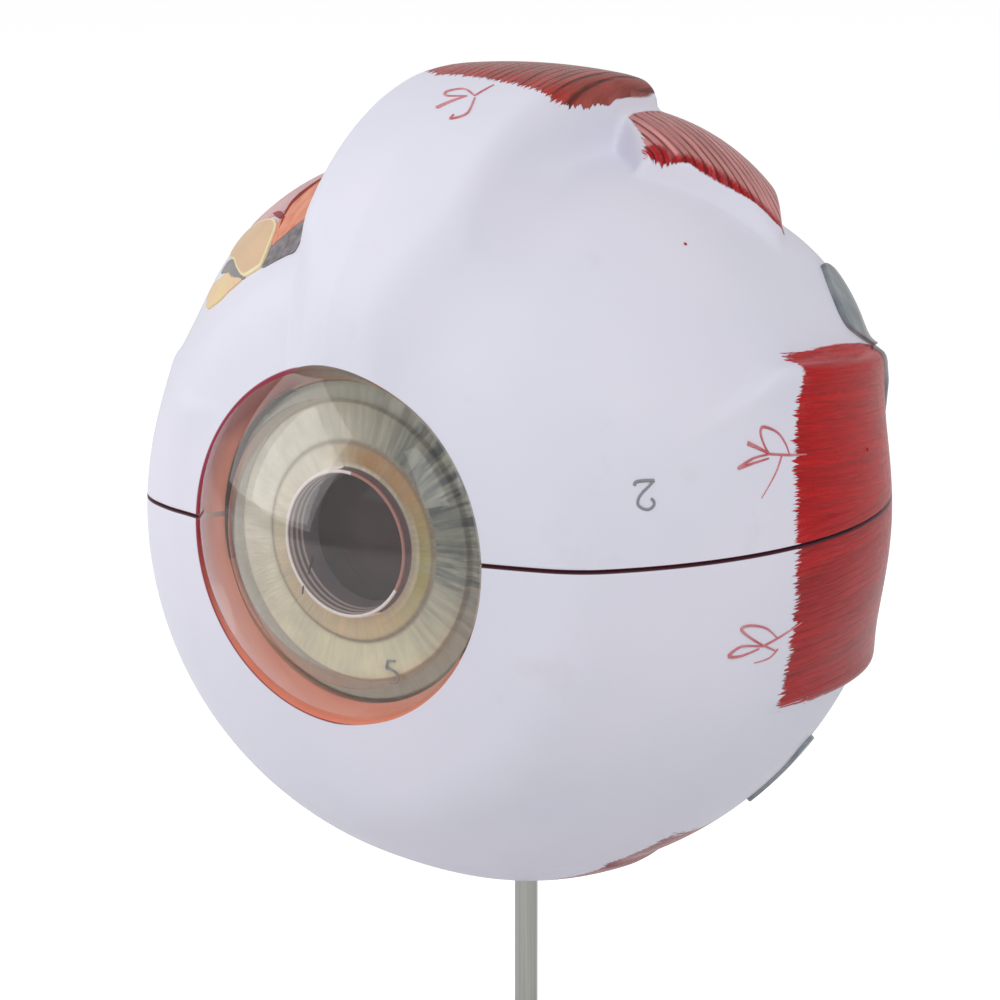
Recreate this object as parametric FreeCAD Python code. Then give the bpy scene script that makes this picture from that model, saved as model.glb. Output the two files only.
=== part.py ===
# Eye anatomy model, five times life size: a left eyeball that comes apart,
# carried on a steel rod over a round weighted base. Millimetres, +Z up. The
# cornea faces -Y and +X is the temporal (outer) side. The origin is the middle
# of the stand's underside, on the rod's axis.
#
# The globe is drawn with y = 0 at its own centre; export() then moves every
# piece so that the rod's axis is the origin.
import FreeCAD
import Part
import math
import os

# Gaps
fit = 0.4                # radial gap between shells that lift out of each other
slip = 0.05              # radial gap round pins, rod and screws
rest_gap = 0.3           # gap between faces that only come near each other

# Globe: heights on the stand
globe_z = 136.0          # centre of the sphere
seam_rise = 4.0          # parting plane above the centre
axis_rise = 2.6          # optic axis above the centre

# Sclera, the white outer shell
globe_r = 62.3
sclera_wall = 4.8
opening_r = 27.9         # limbus at its outer edge
mouth_depth = 4.4
mouth_taper = 2.0        # how much the mouth narrows over its depth
limbus_set = 12.1        # limbus plane behind the foremost point of the sphere
front_r = 120.0          # shallow curve of the front round the limbus
front_blend = 18.0

# Muscle stumps, each by its reach forward and to the rear, its widths there and
# at its nose, where it runs out into the globe, the offset of its middle and the
# drift of that to the rear, and how its back bends: radius less than the globe's,
# centre, crown and rounding
sr_front = 40.0
sr_rear = 16.5
sr_nose = 52.0
sr_front_width = 34.5
sr_rear_width = 33.0
sr_nose_width = 16.0
sr_offset = -1.2
sr_drift = 1.5
sr_flatter = 7.8
sr_centre_back = 1.6
sr_centre_out = 19.1
sr_crown = 1.3
sr_round = 4.0

lr_front = 10.0
lr_rear = 38.0
lr_nose = 36.0
lr_front_width = 54.5
lr_rear_width = 53.0
lr_nose_width = 30.0
lr_offset = -3.8
lr_drift = 3.8
lr_flatter = 2.9
lr_centre_back = 3.0
lr_centre_out = 0.0
lr_crown = 0.8
lr_round = 2.5

ir_front = 14.0
ir_rear = 36.0
ir_nose = 34.0
ir_front_width = 44.0
ir_rear_width = 34.0
ir_nose_width = 24.0
ir_offset = -5.0
ir_drift = 0.0
ir_flatter = 1.1
ir_centre_back = 2.5
ir_centre_out = 2.0
ir_crown = 6.0
ir_round = 1.2

mr_front = 36.0
mr_rear = 34.0
mr_nose = 48.0
mr_front_width = 46.0
mr_rear_width = 34.0
mr_nose_width = 36.0
mr_offset = 3.4
mr_drift = 0.0
mr_flatter = 1.3
mr_centre_back = 2.0
mr_centre_out = 0.0
mr_crown = 3.0
mr_round = 2.0

strap_depth = 36.0       # how far the stumps are rooted below the globe's surface
strap_height = 50.0
knee_r = 14.0            # rounding in plan where a stump starts to narrow to its nose

# Superior oblique: a pad that thickens toward the rear and the middle
oblique_run = 26.6       # along its insertion
oblique_start = 6.0
oblique_bow = 2.6        # how far the middle of its insertion lies behind the ends
oblique_width = 25.0
oblique_bend = 37.6
oblique_out = 28.4       # centre of its back, out from the globe's centre
oblique_shift = 15.1     # the same, toward the rear
oblique_side = 2.3       # and toward the nose
oblique_round = 1.5
oblique_yaw = 36.0
oblique_tilt = 36.0

# Layer window on the upper nasal side: a low cushion
window_bend = 40.0
window_rise = 2.4
window_turn = 60.0       # degrees toward the nose from straight ahead
window_lift = 51.0       # degrees above the horizon

# Choroid, the second shell, with the seat for the iris in its front
choroid_wall = 3.1
seat_depth = 4.2
lip_t = 2.3

# Iris
iris_rim_t = 3.8         # thickness of the flat rim that carries the cornea
iris_rim_w = 3.1
iris_bevel = 0.4
terrace_step = 0.7
collarette_r = 16.0
collarette_step = 0.5
pupil_r = 11.2
pupil_taper = 0.8
pupil_lip_rise = 1.7     # lip round the pupil, above the inner terrace
pupil_lip_w = 0.6

# Cornea
cornea_rise = 11.3
cornea_wall = 1.8
skirt_wall = 2.2

# Lens
lens_r = 21.0
lens_rim_t = 2.0
lens_front_sag = 6.3
lens_back_sag = 9.6

# Optic nerve
nerve_x = -15.0
nerve_drop = 10.6        # axis below the parting plane
sheath_r = 9.0
sheath_wall = 1.5
nerve_stub = 7.2         # how far the nerve stands out behind the globe
nerve_root = 14.0        # how far it is rooted inside the choroid's radius
core_inset = 1.0
collar_r = 13.0
collar_lip = 1.6         # collar round the sheath at its outer end
collar_stub = 1.7
collar_root = 16.3

# Rod and its socket in the globe
rod_y = 2.0              # the rod stands behind the globe's centre
rod_r = 2.0
socket_r = 4.0
socket_cap = 1.2
boss_r = 8.0
boss_inset = 0.8         # boss stays below the inner face of the choroid

# Pins in the seam
pin_r = 1.5
pin_depth = 5.0
pin_stand = 3.0
pin_angles = (-20, 75, 200)

# Base
base_r = 68.0
base_wall = 3.0
base_rim = 2.0           # the moulding's edge above the table
base_shoulder = 14.0
base_top = 20.0
base_draft = 1.2
base_edge = 5.0          # width of the rounded edge of the top
base_edge_rise = 4.2
base_edge_bulge = 3.2
base_step = 3.0          # underside of the top, below the edge's rise
cover_t = 2.0
cover_foot = 3.0
ballast_r = 48.0
ballast_t = 8.0
ballast_hole = 14.0
hub_r = 9.0
washer_r = 4.5
washer_t = 0.8
nut_across = 7.0
nut_h = 3.2
ferrule_r = 5.0
ferrule_h = 5.0
ferrule_bevel = 1.4
post_r = 4.0
post_gap = 1.0           # posts stand clear of the base's wall
screw_r = 1.25
screw_head_r = 2.9
screw_head_t = 1.0
screw_length = 9.0
screw_slot = 0.8
foot_r = 6.0
foot_round = 0.8
foot_set = 4.0           # feet inside the base's wall
quarter_turns = (45, 135, 225, 315)

# Worked out from the sizes above
seam_z = globe_z + seam_rise
axis_z = globe_z + axis_rise
sclera_inner = globe_r - sclera_wall
limbus_y = limbus_set - globe_r
throat_y = limbus_y + mouth_depth
throat_r = opening_r - mouth_taper
taper = mouth_taper / mouth_depth
choroid_outer = sclera_inner - fit
choroid_inner = choroid_outer - choroid_wall
choroid_front = throat_y + fit
iris_r = throat_r - fit
iris_back = choroid_front + seat_depth
iris_rim_y = iris_back - iris_rim_t
lip_r = lens_r + fit
lip_back = iris_back + lip_t
lens_front = iris_back + rest_gap
lens_rim_front = lens_front + lens_front_sag
lens_rim_back = lens_rim_front + lens_rim_t
lens_back = lens_rim_back + lens_back_sag
vitreous_r = choroid_inner - fit
vitreous_front = lip_back + rest_gap
nerve_z = seam_z - nerve_drop
nerve_end = globe_r + nerve_stub
nerve_start = choroid_inner - nerve_root
boss_top = globe_z - choroid_inner - boss_inset
rod_tip = boss_top - socket_cap
cover_top = cover_foot + cover_t
nut_foot = cover_top + rest_gap
hub_foot = nut_foot + nut_h + washer_t
screw_ring = base_r - base_wall - post_r - post_gap
foot_ring = base_r - base_wall - foot_r - foot_set
far = 3 * globe_r

V = FreeCAD.Vector
centre = V(0, 0, globe_z)
across = V(1, 0, 0)
back = V(0, 1, 0)
up = V(0, 0, 1)
os.makedirs("parts", exist_ok=True)


def face(steps, place):
    """Flat face from (a, b) corners; a step of four numbers is an arc by its middle."""
    edges = []
    here = place(*steps[-1][-2:])
    for step in steps:
        there = place(*step[-2:])
        if len(step) == 4:
            edges.append(Part.Arc(here, place(*step[:2]), there).toShape())
        else:
            edges.append(Part.makeLine(here, there))
        here = there
    return Part.Face(Part.Wire(edges))


def cap(rim_r, rim_at, apex_at):
    """Arc step from a rim to the apex of a dome on the axis."""
    sag = abs(apex_at - rim_at)
    dome_r = (rim_r ** 2 + sag ** 2) / (2 * sag)
    side = math.copysign(1, apex_at - rim_at)
    middle = apex_at - side * (dome_r - math.sqrt(dome_r ** 2 - rim_r ** 2 / 4))
    return (rim_r / 2, middle, 0, apex_at)


def reversed_cap(rim_r, rim_at, apex_at):
    """The same arc from the apex out to the rim."""
    middle_r, middle, _, _ = cap(rim_r, rim_at, apex_at)
    return (middle_r, middle, rim_r, rim_at)


def turned_y(steps):
    """Solid of revolution about the optic axis from (radius, y) steps."""
    profile = face(steps, lambda r, y: V(r, y, axis_z))
    return profile.revolve(V(0, 0, axis_z), back, 360)


def turned_z(steps, y=0.0):
    """Solid of revolution about an upright axis from (radius, z) steps."""
    profile = face(steps, lambda r, z: V(r, y, z))
    return profile.revolve(V(0, y, 0), up, 360)


def upright(radius, z0, z1, y=0.0):
    return Part.makeCylinder(radius, z1 - z0, V(0, y, z0), up)


def along_y(radius, y0, y1, x, z):
    return Part.makeCylinder(radius, y1 - y0, V(x, y0, z), back)


def box(x0, x1, y0, y1, z0, z1):
    return Part.makeBox(x1 - x0, y1 - y0, z1 - z0, V(x0, y0, z0))


def union(shapes):
    return shapes[0].fuse(list(shapes[1:])).removeSplitter()


def ring_of(shape, angles, radius, y=0.0):
    """Copies of a shape built on the Z axis, set out on a circle."""
    copies = []
    for angle in angles:
        turn = math.radians(angle)
        copy = shape.copy()
        copy.translate(V(radius * math.cos(turn), y + radius * math.sin(turn), 0))
        copies.append(copy)
    return copies


def blunt_ball(radius, front):
    """Ball about the globe's centre, cut flat toward the cornea."""
    ball = Part.makeSphere(radius, centre)
    return ball.common(box(-far, far, front, far, globe_z - far, globe_z + far))


def export(name, shape):
    shape.translate(V(0, -rod_y, 0))
    shape.exportStep("parts/" + name + ".step")


above = box(-far, far, -far, far, seam_z, seam_z + far)
below = box(-far, far, -far, far, seam_z - far, seam_z)


# ---------------------------------------------------------------- muscles
# The white shell is one moulding with the muscle stumps standing on it.
# Each straight muscle is a strap with a crowned back. It is widest at its
# insertion, and narrows to its cut end and to the nose that runs out in front.
strap_foot = globe_z + globe_r - strap_depth


def strap(reach, widths, middle, bend, bend_at, crown, edge_round, turn):
    """Strap on top of the globe, then turned about the front-to-back axis.

    reach and widths are for its nose, front and rear; middle is the offset at
    the front and at the rear; bend and bend_at are the back's radius and the
    centre it bends about; crown is its drop from the middle to the sides.
    """
    y = bend_at[0]
    z = globe_z + bend_at[1]
    half = max(widths)
    side_z = z + bend - 4 * crown
    steps = [(middle[0] - half, z), (middle[0] - half, side_z),
             (middle[0], z + bend, middle[0] + half, side_z), (middle[0] + half, z)]
    body = face(steps, lambda x, height: V(x, y, height)).revolve(V(0, y, z), across, 360)
    shifts = (middle[0],) + middle
    right = [V(m + w / 2, at, strap_foot) for at, w, m in zip(reach, widths, shifts)]
    left = [V(m - w / 2, at, strap_foot) for at, w, m in zip(reach, widths, shifts)]
    corners = right + left[::-1]
    block = Part.Face(Part.makePolygon(corners + corners[:1])).extrude(V(0, 0, strap_height))
    knees = [e for e in block.Edges
             if abs(e.CenterOfMass.y - reach[1]) < slip and e.BoundBox.ZLength > slip]
    body = body.common(block.makeFillet(knee_r, knees))
    rims = [e for e in body.Edges if e.CenterOfMass.z > strap_foot + slip
            and e.BoundBox.YLength > slip and e.BoundBox.XLength < half / 2]
    body = body.makeFillet(edge_round, rims)
    body.rotate(centre, back, turn)
    return body


superior_rectus = strap(
    (-sr_nose, -sr_front, sr_rear), (sr_nose_width, sr_front_width, sr_rear_width),
    (sr_offset, sr_offset + sr_drift), globe_r - sr_flatter, (sr_centre_back, sr_centre_out),
    sr_crown, sr_round, 0)
lateral_rectus = strap(
    (-lr_nose, -lr_front, lr_rear), (lr_nose_width, lr_front_width, lr_rear_width),
    (lr_offset, lr_offset + lr_drift), globe_r - lr_flatter, (lr_centre_back, lr_centre_out),
    lr_crown, lr_round, 90)
inferior_rectus = strap(
    (-ir_nose, -ir_front, ir_rear), (ir_nose_width, ir_front_width, ir_rear_width),
    (ir_offset, ir_offset + ir_drift), globe_r - ir_flatter, (ir_centre_back, ir_centre_out),
    ir_crown, ir_round, 180)
medial_rectus = strap(
    (-mr_nose, -mr_front, mr_rear), (mr_nose_width, mr_front_width, mr_rear_width),
    (mr_offset, mr_offset + mr_drift), globe_r - mr_flatter, (mr_centre_back, mr_centre_out),
    mr_crown, mr_round, 270)

# The superior oblique's pad is trimmed by a block on top of the globe and then
# turned into place. The sphere of its back sits toward the rear and the nose.
half_run = oblique_run / 2
oblique_end = oblique_start + oblique_width
outline = [(half_run, oblique_end), (-half_run, oblique_end), (-half_run, oblique_start),
           (0, oblique_start + oblique_bow, half_run, oblique_start)]
block = face(outline, lambda x, y: V(x, y, strap_foot)).extrude(V(0, 0, strap_height))
pad = Part.makeSphere(oblique_bend, V(-oblique_side, oblique_shift, globe_z + oblique_out))
pad = pad.common(block)
rims = [e for e in pad.Edges if e.BoundBox.ZMin > strap_foot + slip]
superior_oblique = pad.makeFillet(oblique_round, rims)
superior_oblique.rotate(centre, up, oblique_yaw)
superior_oblique.rotate(centre, back, oblique_tilt)

# Layer window: the cushion's centre lies on a ray from the globe's centre
window_out = globe_r + window_rise - window_bend
turn = math.radians(window_turn)
lift = math.radians(window_lift)
window = Part.makeSphere(window_bend, centre + V(
    -math.sin(turn) * math.cos(lift), -math.cos(turn) * math.cos(lift), math.sin(lift)) * window_out)

# Collar that the optic nerve leaves through
collar = Part.makeCone(
    collar_r, sheath_r + collar_lip, collar_root + collar_stub,
    V(nerve_x, globe_r - collar_root, nerve_z), back)

# ---------------------------------------------------------------- sclera
# Globe: a sphere with a shallower front, the edge between them rounded.
front_sag = front_r - math.sqrt(front_r ** 2 - opening_r ** 2)
ball = Part.makeSphere(globe_r, centre)
ball = ball.common(Part.makeSphere(front_r, V(0, limbus_y - front_sag + front_r, globe_z)))
crease = [e for e in ball.Edges if e.CenterOfMass.y < -opening_r]
ball = ball.makeFillet(front_blend, crease)
body = union([ball, superior_rectus, lateral_rectus, inferior_rectus, medial_rectus,
              superior_oblique, window, collar])

# Inside it is a ball with a flat behind the limbus and a boss for the rod.
cavity = blunt_ball(sclera_inner, throat_y)
cavity = cavity.cut(upright(boss_r, globe_z - globe_r, boss_top, rod_y))
reach = 2 * mouth_depth
mouth = turned_y([
    (0, limbus_y - reach), (opening_r + taper * reach, limbus_y - reach),
    (throat_r - taper * reach, throat_y + reach), (0, throat_y + reach)])
sclera = body.cut(cavity).cut(mouth)

pin_ring = (globe_r + sclera_inner) / 2
pins = ring_of(upright(pin_r, seam_z - pin_depth, seam_z + pin_stand), pin_angles, pin_ring)
pin_holes = ring_of(
    upright(pin_r + slip, seam_z - pin_depth, seam_z + pin_stand + rest_gap),
    pin_angles, pin_ring)
nerve_hole = along_y(sheath_r + slip, nerve_start, far, nerve_x, nerve_z)
socket_hole = upright(socket_r + slip, globe_z - far / 2, globe_z, rod_y)
export("lower_sclera", sclera.common(below).cut([nerve_hole, socket_hole] + pin_holes))
export("upper_sclera", sclera.common(above).cut(pin_holes))
export("locating_pins", Part.makeCompound(pins))

# ---------------------------------------------------------------- choroid
# Two half shells inside the sclera. The front is flat, with a stepped hole: the
# iris lies in the wide step and the lens passes through the narrow one.
seat = turned_y([
    (0, choroid_front - 1), (iris_r + fit, choroid_front - 1), (iris_r + fit, iris_back),
    (lip_r, iris_back), (lip_r, lip_back + 1), (0, lip_back + 1)])
boss_hole = upright(boss_r + fit, globe_z - globe_r, globe_z - choroid_inner / 2, rod_y)
shell = blunt_ball(choroid_outer, choroid_front)
shell = shell.cut([blunt_ball(choroid_inner, lip_back), seat, boss_hole])
export("lower_choroid", shell.common(below))
export("upper_choroid", shell.common(above))

# ---------------------------------------------------------------- iris
# A disc in three terraces with a raised lip round a tapered pupil.
terrace_r = iris_r - iris_rim_w
pupil_lip_r = pupil_r + pupil_lip_w
terrace_y = iris_rim_y - terrace_step
collarette_y = terrace_y - collarette_step
pupil_lip_y = collarette_y - pupil_lip_rise
export("iris", turned_y([
    (iris_r, iris_back), (iris_r, iris_rim_y), (terrace_r, iris_rim_y),
    (terrace_r - iris_bevel, terrace_y), (collarette_r, terrace_y),
    (collarette_r - iris_bevel, collarette_y), (pupil_lip_r, collarette_y),
    (pupil_lip_r, pupil_lip_y), (pupil_r, pupil_lip_y),
    (pupil_r - pupil_taper, iris_back)]))

# ---------------------------------------------------------------- cornea
# Clear dome on a tapered skirt that stands on the iris rim and fills the mouth.
skirt_top = opening_r - rest_gap
skirt_foot = throat_r - rest_gap - taper * (iris_rim_y - throat_y)
skirt_inner = skirt_foot - skirt_wall
apex = limbus_y - cornea_rise
export("cornea", turned_y([
    (skirt_inner, iris_rim_y), (skirt_foot, iris_rim_y), (skirt_top, limbus_y),
    cap(skirt_top, limbus_y, apex), (0, apex + cornea_wall),
    reversed_cap(skirt_inner, limbus_y + cornea_wall, apex + cornea_wall)]))

# ---------------------------------------------------------------- lens, vitreous
export("lens", turned_y([
    reversed_cap(lens_r, lens_rim_front, lens_front), (lens_r, lens_rim_back),
    cap(lens_r, lens_rim_back, lens_back), (0, lens_front)]))

pocket_r = lens_r + rest_gap
pocket_rim = lens_rim_back + rest_gap
recess = turned_y([
    (0, vitreous_front - 5), (pocket_r, vitreous_front - 5), (pocket_r, pocket_rim),
    cap(pocket_r, pocket_rim, lens_back + rest_gap)])
export("vitreous_body", blunt_ball(vitreous_r, vitreous_front).cut(recess))

# ---------------------------------------------------------------- optic nerve
inside = Part.makeSphere(sclera_inner + slip, centre)
core_r = sheath_r - sheath_wall
sheath = along_y(sheath_r, nerve_start, nerve_end, nerve_x, nerve_z)
sheath = sheath.cut(along_y(core_r, nerve_start, nerve_end, nerve_x, nerve_z))
core = along_y(core_r, nerve_start, nerve_end - core_inset, nerve_x, nerve_z)
export("optic_nerve_sheath", sheath.cut(inside))
export("optic_nerve_core", core.cut(inside))

# ---------------------------------------------------------------- rod and socket
# The socket is a blind steel bush; the globe hangs on the rod's tip and turns.
skin = Part.makeSphere(globe_r - rest_gap, centre)
socket = upright(socket_r, globe_z - far / 2, boss_top, rod_y).common(skin)
export("rod_socket", socket.cut(upright(rod_r + slip, globe_z - far / 2, rod_tip, rod_y)))
export("support_rod", upright(rod_r, nut_foot, rod_tip, rod_y))

# ---------------------------------------------------------------- base
# A crowned moulding, hollow below, with a hub for the rod and four screw posts.
brow_r = base_r - base_draft
crown_r = brow_r - base_edge
crown_z = base_shoulder + base_edge_rise
ceiling_z = crown_z - base_step
base = turned_z([
    (base_r, base_rim), (brow_r, base_shoulder),
    (brow_r - base_draft, base_shoulder + base_edge_bulge, crown_r, crown_z),
    cap(crown_r, crown_z, base_top),
    (0, base_top - base_wall), reversed_cap(crown_r, ceiling_z, base_top - base_wall),
    (brow_r - base_wall, ceiling_z - cover_t), (base_r - base_wall, base_rim)], rod_y)
posts = ring_of(upright(post_r, cover_top, ceiling_z), quarter_turns, screw_ring, rod_y)
hub = upright(hub_r, hub_foot, base_top - base_wall / 2, rod_y)
pilots = ring_of(
    upright(screw_r + slip, 0, cover_foot + screw_length + rest_gap),
    quarter_turns, screw_ring, rod_y)
rod_bore = upright(rod_r + slip, 0, 2 * base_top, rod_y)
export("base_plate", union([base, hub] + posts).cut([rod_bore] + pilots))
export("base_weight", upright(ballast_r, cover_top, cover_top + ballast_t, rod_y).cut(
    upright(ballast_hole, 0, base_top, rod_y)))

head_foot = cover_foot + rest_gap
head_top = head_foot + screw_head_t
holes = ring_of(upright(screw_r + rest_gap, 0, base_top), quarter_turns, screw_ring, rod_y)
sinks = ring_of(upright(screw_head_r + rest_gap, 0, head_top), quarter_turns, screw_ring, rod_y)
cover = upright(base_r - base_wall - rest_gap, cover_foot, cover_top, rod_y)
export("base_cover", cover.cut(holes + sinks))

screw = union([upright(screw_head_r, head_foot, head_top),
               upright(screw_r, head_top, cover_foot + screw_length)])
slot = screw_slot / 2
screw = screw.cut(box(-slot, slot, -post_r, post_r, 0, head_foot + screw_head_t / 2))
export("base_screws", Part.makeCompound(ring_of(screw, quarter_turns, screw_ring, rod_y)))

foot = turned_z([(foot_r, foot_round), (foot_r, cover_foot), (0, cover_foot), (0, 0),
                 (foot_r - foot_round, 0)])
export("base_feet", Part.makeCompound(ring_of(foot, (0, 90, 180, 270), foot_ring, rod_y)))

# ---------------------------------------------------------------- rod fixings
washer = upright(washer_r, hub_foot - washer_t, hub_foot, rod_y)
export("rod_washer", washer.cut(rod_bore))
nut_r = nut_across / math.sqrt(3)
corners = [V(nut_r * math.cos(math.radians(60 * i)), rod_y + nut_r * math.sin(math.radians(60 * i)),
             nut_foot) for i in range(6)]
nut = Part.Face(Part.makePolygon(corners + corners[:1])).extrude(V(0, 0, nut_h))
export("rod_nut", nut.cut(rod_bore))
ferrule = turned_z([
    (ferrule_r, base_top), (ferrule_r, base_top + ferrule_h - ferrule_bevel),
    (ferrule_r - ferrule_bevel, base_top + ferrule_h), (rod_r + slip, base_top + ferrule_h),
    (rod_r + slip, base_top)], rod_y)
export("rod_ferrule", ferrule)
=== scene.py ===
import bmesh
import bpy
import math
import numpy as np
from mathutils import Matrix, Vector


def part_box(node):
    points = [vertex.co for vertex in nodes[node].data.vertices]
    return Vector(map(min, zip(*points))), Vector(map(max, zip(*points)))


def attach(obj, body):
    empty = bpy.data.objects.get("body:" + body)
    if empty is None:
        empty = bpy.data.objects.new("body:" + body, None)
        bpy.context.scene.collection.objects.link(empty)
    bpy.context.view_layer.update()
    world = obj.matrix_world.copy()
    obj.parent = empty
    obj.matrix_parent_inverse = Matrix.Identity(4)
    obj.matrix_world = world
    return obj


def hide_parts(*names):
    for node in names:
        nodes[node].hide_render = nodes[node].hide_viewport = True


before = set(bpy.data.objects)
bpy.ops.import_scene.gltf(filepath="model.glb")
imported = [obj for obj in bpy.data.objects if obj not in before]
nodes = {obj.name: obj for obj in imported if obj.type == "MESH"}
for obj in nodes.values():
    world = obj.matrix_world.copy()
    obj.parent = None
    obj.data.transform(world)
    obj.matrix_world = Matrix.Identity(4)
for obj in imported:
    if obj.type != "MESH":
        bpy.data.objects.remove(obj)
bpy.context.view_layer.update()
mm = 0.001

# ------------------------------------------------------------------ studio
# A pale table top under soft daylight lamps, and a camera that looks at the
# left eye from the outer front, a little from above.
low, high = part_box("lower_choroid")
lining_r = (high.x - low.x) / 2
eye_centre = Vector((0, high.y - lining_r, low.z + lining_r))
seam_z = high.z
azimuth, elevation = math.radians(34.8), math.radians(13)
camera_away = 0.5
view_from = Vector((math.sin(azimuth) * math.cos(elevation),
                    -math.cos(azimuth) * math.cos(elevation), math.sin(elevation)))
camera_data = bpy.data.cameras.new("camera")
camera_data.sensor_width = 36
camera_data.lens = 106.81
camera_data.shift_x = -0.0197
camera_data.shift_y = 0.0036
camera_data.clip_start = 0.01
camera = bpy.data.objects.new("camera", camera_data)
camera.location = eye_centre + camera_away * view_from
camera.rotation_euler = (-view_from).to_track_quat("-Z", "Y").to_euler()
bpy.context.collection.objects.link(camera)
bpy.context.scene.camera = camera
bpy.context.scene.view_settings.view_transform = "Standard"

room_white = (1, 1, 1, 1)
room_light = 0.42
table_lift = 0.64
table_reach = 12.0
mirror_share = 0.35


class Nodes:
    """Builds up a node tree. Inputs are values or sockets: i0 is the first, _ is a space."""

    def __init__(self, holder):
        if isinstance(holder, str):
            holder = bpy.data.materials.new(holder)
        if hasattr(holder, "use_nodes"):
            holder.use_nodes = True
        self.holder = holder
        self.tree = getattr(holder, "node_tree", holder)
        self.tree.nodes.clear()

    def add(self, kind, mode=None, **inputs):
        """Adds a node."""
        made = self.tree.nodes.new(kind if "Node" in kind else "ShaderNode" + kind)
        if kind == "Mix":
            made.data_type = "RGBA"
        if mode:
            setattr(made, "blend_type" if kind == "Mix" else "operation", mode)
        for name, value in inputs.items():
            numbered = name[0] == "i" and name[1:].isdigit()
            socket = made.inputs[int(name[1:]) if numbered else name.replace("_", " ")]
            if isinstance(value, bpy.types.NodeSocket):
                self.tree.links.new(value, socket)
            else:
                socket.default_value = value
        return made

    def __call__(self, kind, mode=None, out=0, **inputs):
        """Adds a node and gives one of its outputs."""
        return self.add(kind, mode, **inputs).outputs[out]

    def calc(self, mode, *values):
        """Arithmetic on plain values."""
        return self("Math", mode, **{"i%d" % k: value for k, value in enumerate(values)})

    def vector(self, mode, *values):
        out = "Value" if mode in ("LENGTH", "DISTANCE") else "Vector"
        return self("VectorMath", mode, out, **{"i%d" % k: v for k, v in enumerate(values)})

    def mix(self, share, a, b, mode="MIX"):
        """A share of the second colour over the first."""
        a, b = (c if isinstance(c, bpy.types.NodeSocket) else (*c, 1) for c in (a, b))
        return self("Mix", mode, 2, i0=share, i6=a, i7=b)

    def place(self):
        return self("TexCoord", out="Object")

    def noise(self, where, scale, detail, **more):
        return self("TexNoise", Vector=where, Scale=scale, Detail=detail, **more)

    def between(self, value, start, end, low=0.0, high=1.0):
        """0 at the start, 1 at the end, or from low to high."""
        return self("MapRange", Value=value, From_Min=start, From_Max=end, To_Min=low,
                    To_Max=high)

    def read(self, name, out="Fac"):
        made = self.add("Attribute")
        made.attribute_name = name
        return made.outputs[out]

    def relief(self, height, strength, distance):
        return self("Bump", Strength=strength, Distance=distance, Height=height)

    def end(self, shader, kind="OutputMaterial"):
        self.add(kind, Surface=shader)
        return self.holder

    def paint(self, **inputs):
        """Ends the tree in a painted or metal surface, and gives the material."""
        return self.end(self("BsdfPrincipled", **inputs))


def seen_rays(tree):
    """The flags of a ray, and how much light one gets: all for a camera ray, a part for
    a mirrored one."""
    rays = tree.add("LightPath").outputs
    return rays, tree.calc("MAXIMUM", rays["Is Camera Ray"],
                           tree.calc("MULTIPLY", rays["Is Glossy Ray"], mirror_share))


room = Nodes(bpy.data.worlds.new("room"))
bpy.context.scene.world = room.holder
rays, seen = seen_rays(room)
seen = room.calc("MAXIMUM", seen, rays["Is Transmission Ray"])
strength = room.calc("MULTIPLY_ADD", seen, 1 - room_light, room_light)
room.end(room("Background", Color=room_white, Strength=strength), "OutputWorld")

top = Nodes("table_top")
glow = top.calc("MULTIPLY", seen_rays(top)[1], table_lift)
grain = top("TexNoise", Scale=900.0, Detail=3.0)
top.end(top("AddShader",
            i0=top("BsdfDiffuse", Color=top.mix(grain, (0.8, 0.8, 0.8), (0.83, 0.83, 0.83))),
            i1=top("Emission", Color=room_white, Strength=glow)))
table = bpy.data.meshes.new("table")
table.from_pydata([(x * table_reach, y * table_reach, 0)
                   for x, y in ((-1, -1), (1, -1), (1, 1), (-1, 1))], [], [(0, 1, 2, 3)])
table.materials.append(top.holder)
table = bpy.data.objects.new("table", table)
bpy.context.collection.objects.link(table)


def lamp(name, place, size, watts):
    """A softbox that faces the eye."""
    data = bpy.data.lights.new(name, "AREA")
    data.shape = "RECTANGLE"
    data.size, data.size_y = size
    data.energy = watts
    box = bpy.data.objects.new(name, data)
    box.location = eye_centre + Vector(place)
    box.rotation_euler = (eye_centre - box.location).to_track_quat("-Z", "Y").to_euler()
    bpy.context.collection.objects.link(box)


lamp("key", (0.75, -0.35, 0.75), (0.8, 0.8), 4.4)
lamp("side_window", (-1.12, -0.78, 0.62), (1.7, 1.25), 12.5)

# ------------------------------------------------------------------ base
# White moulded base with a cast disc for weight, a black cover sheet below it,
# four screws and four rubber feet. The base is polished, its gloss a little uneven from wear.
wear = 0.08


def gloss(name, colour, second, scale, roughness, bump=0.0, bump_scale=600.0, metallic=0.0):
    """Paint or moulded plastic: two near tones in soft clouds, uneven gloss, fine relief."""
    tree = Nodes(name)
    place = tree.place()
    fine = tree.noise(place, bump_scale, 3.0)
    return tree.paint(
        Base_Color=tree.mix(tree.noise(place, scale, 4.0), colour, second), Metallic=metallic,
        Roughness=tree.calc("MULTIPLY_ADD", fine, wear, roughness - wear / 2),
        Normal=tree.relief(fine, bump, 0.0002))


def dress(node, material):
    """Gives a piece that stays as it was built its finish."""
    mesh = nodes[node].data
    mesh.materials.clear()
    mesh.materials.append(material)


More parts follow.
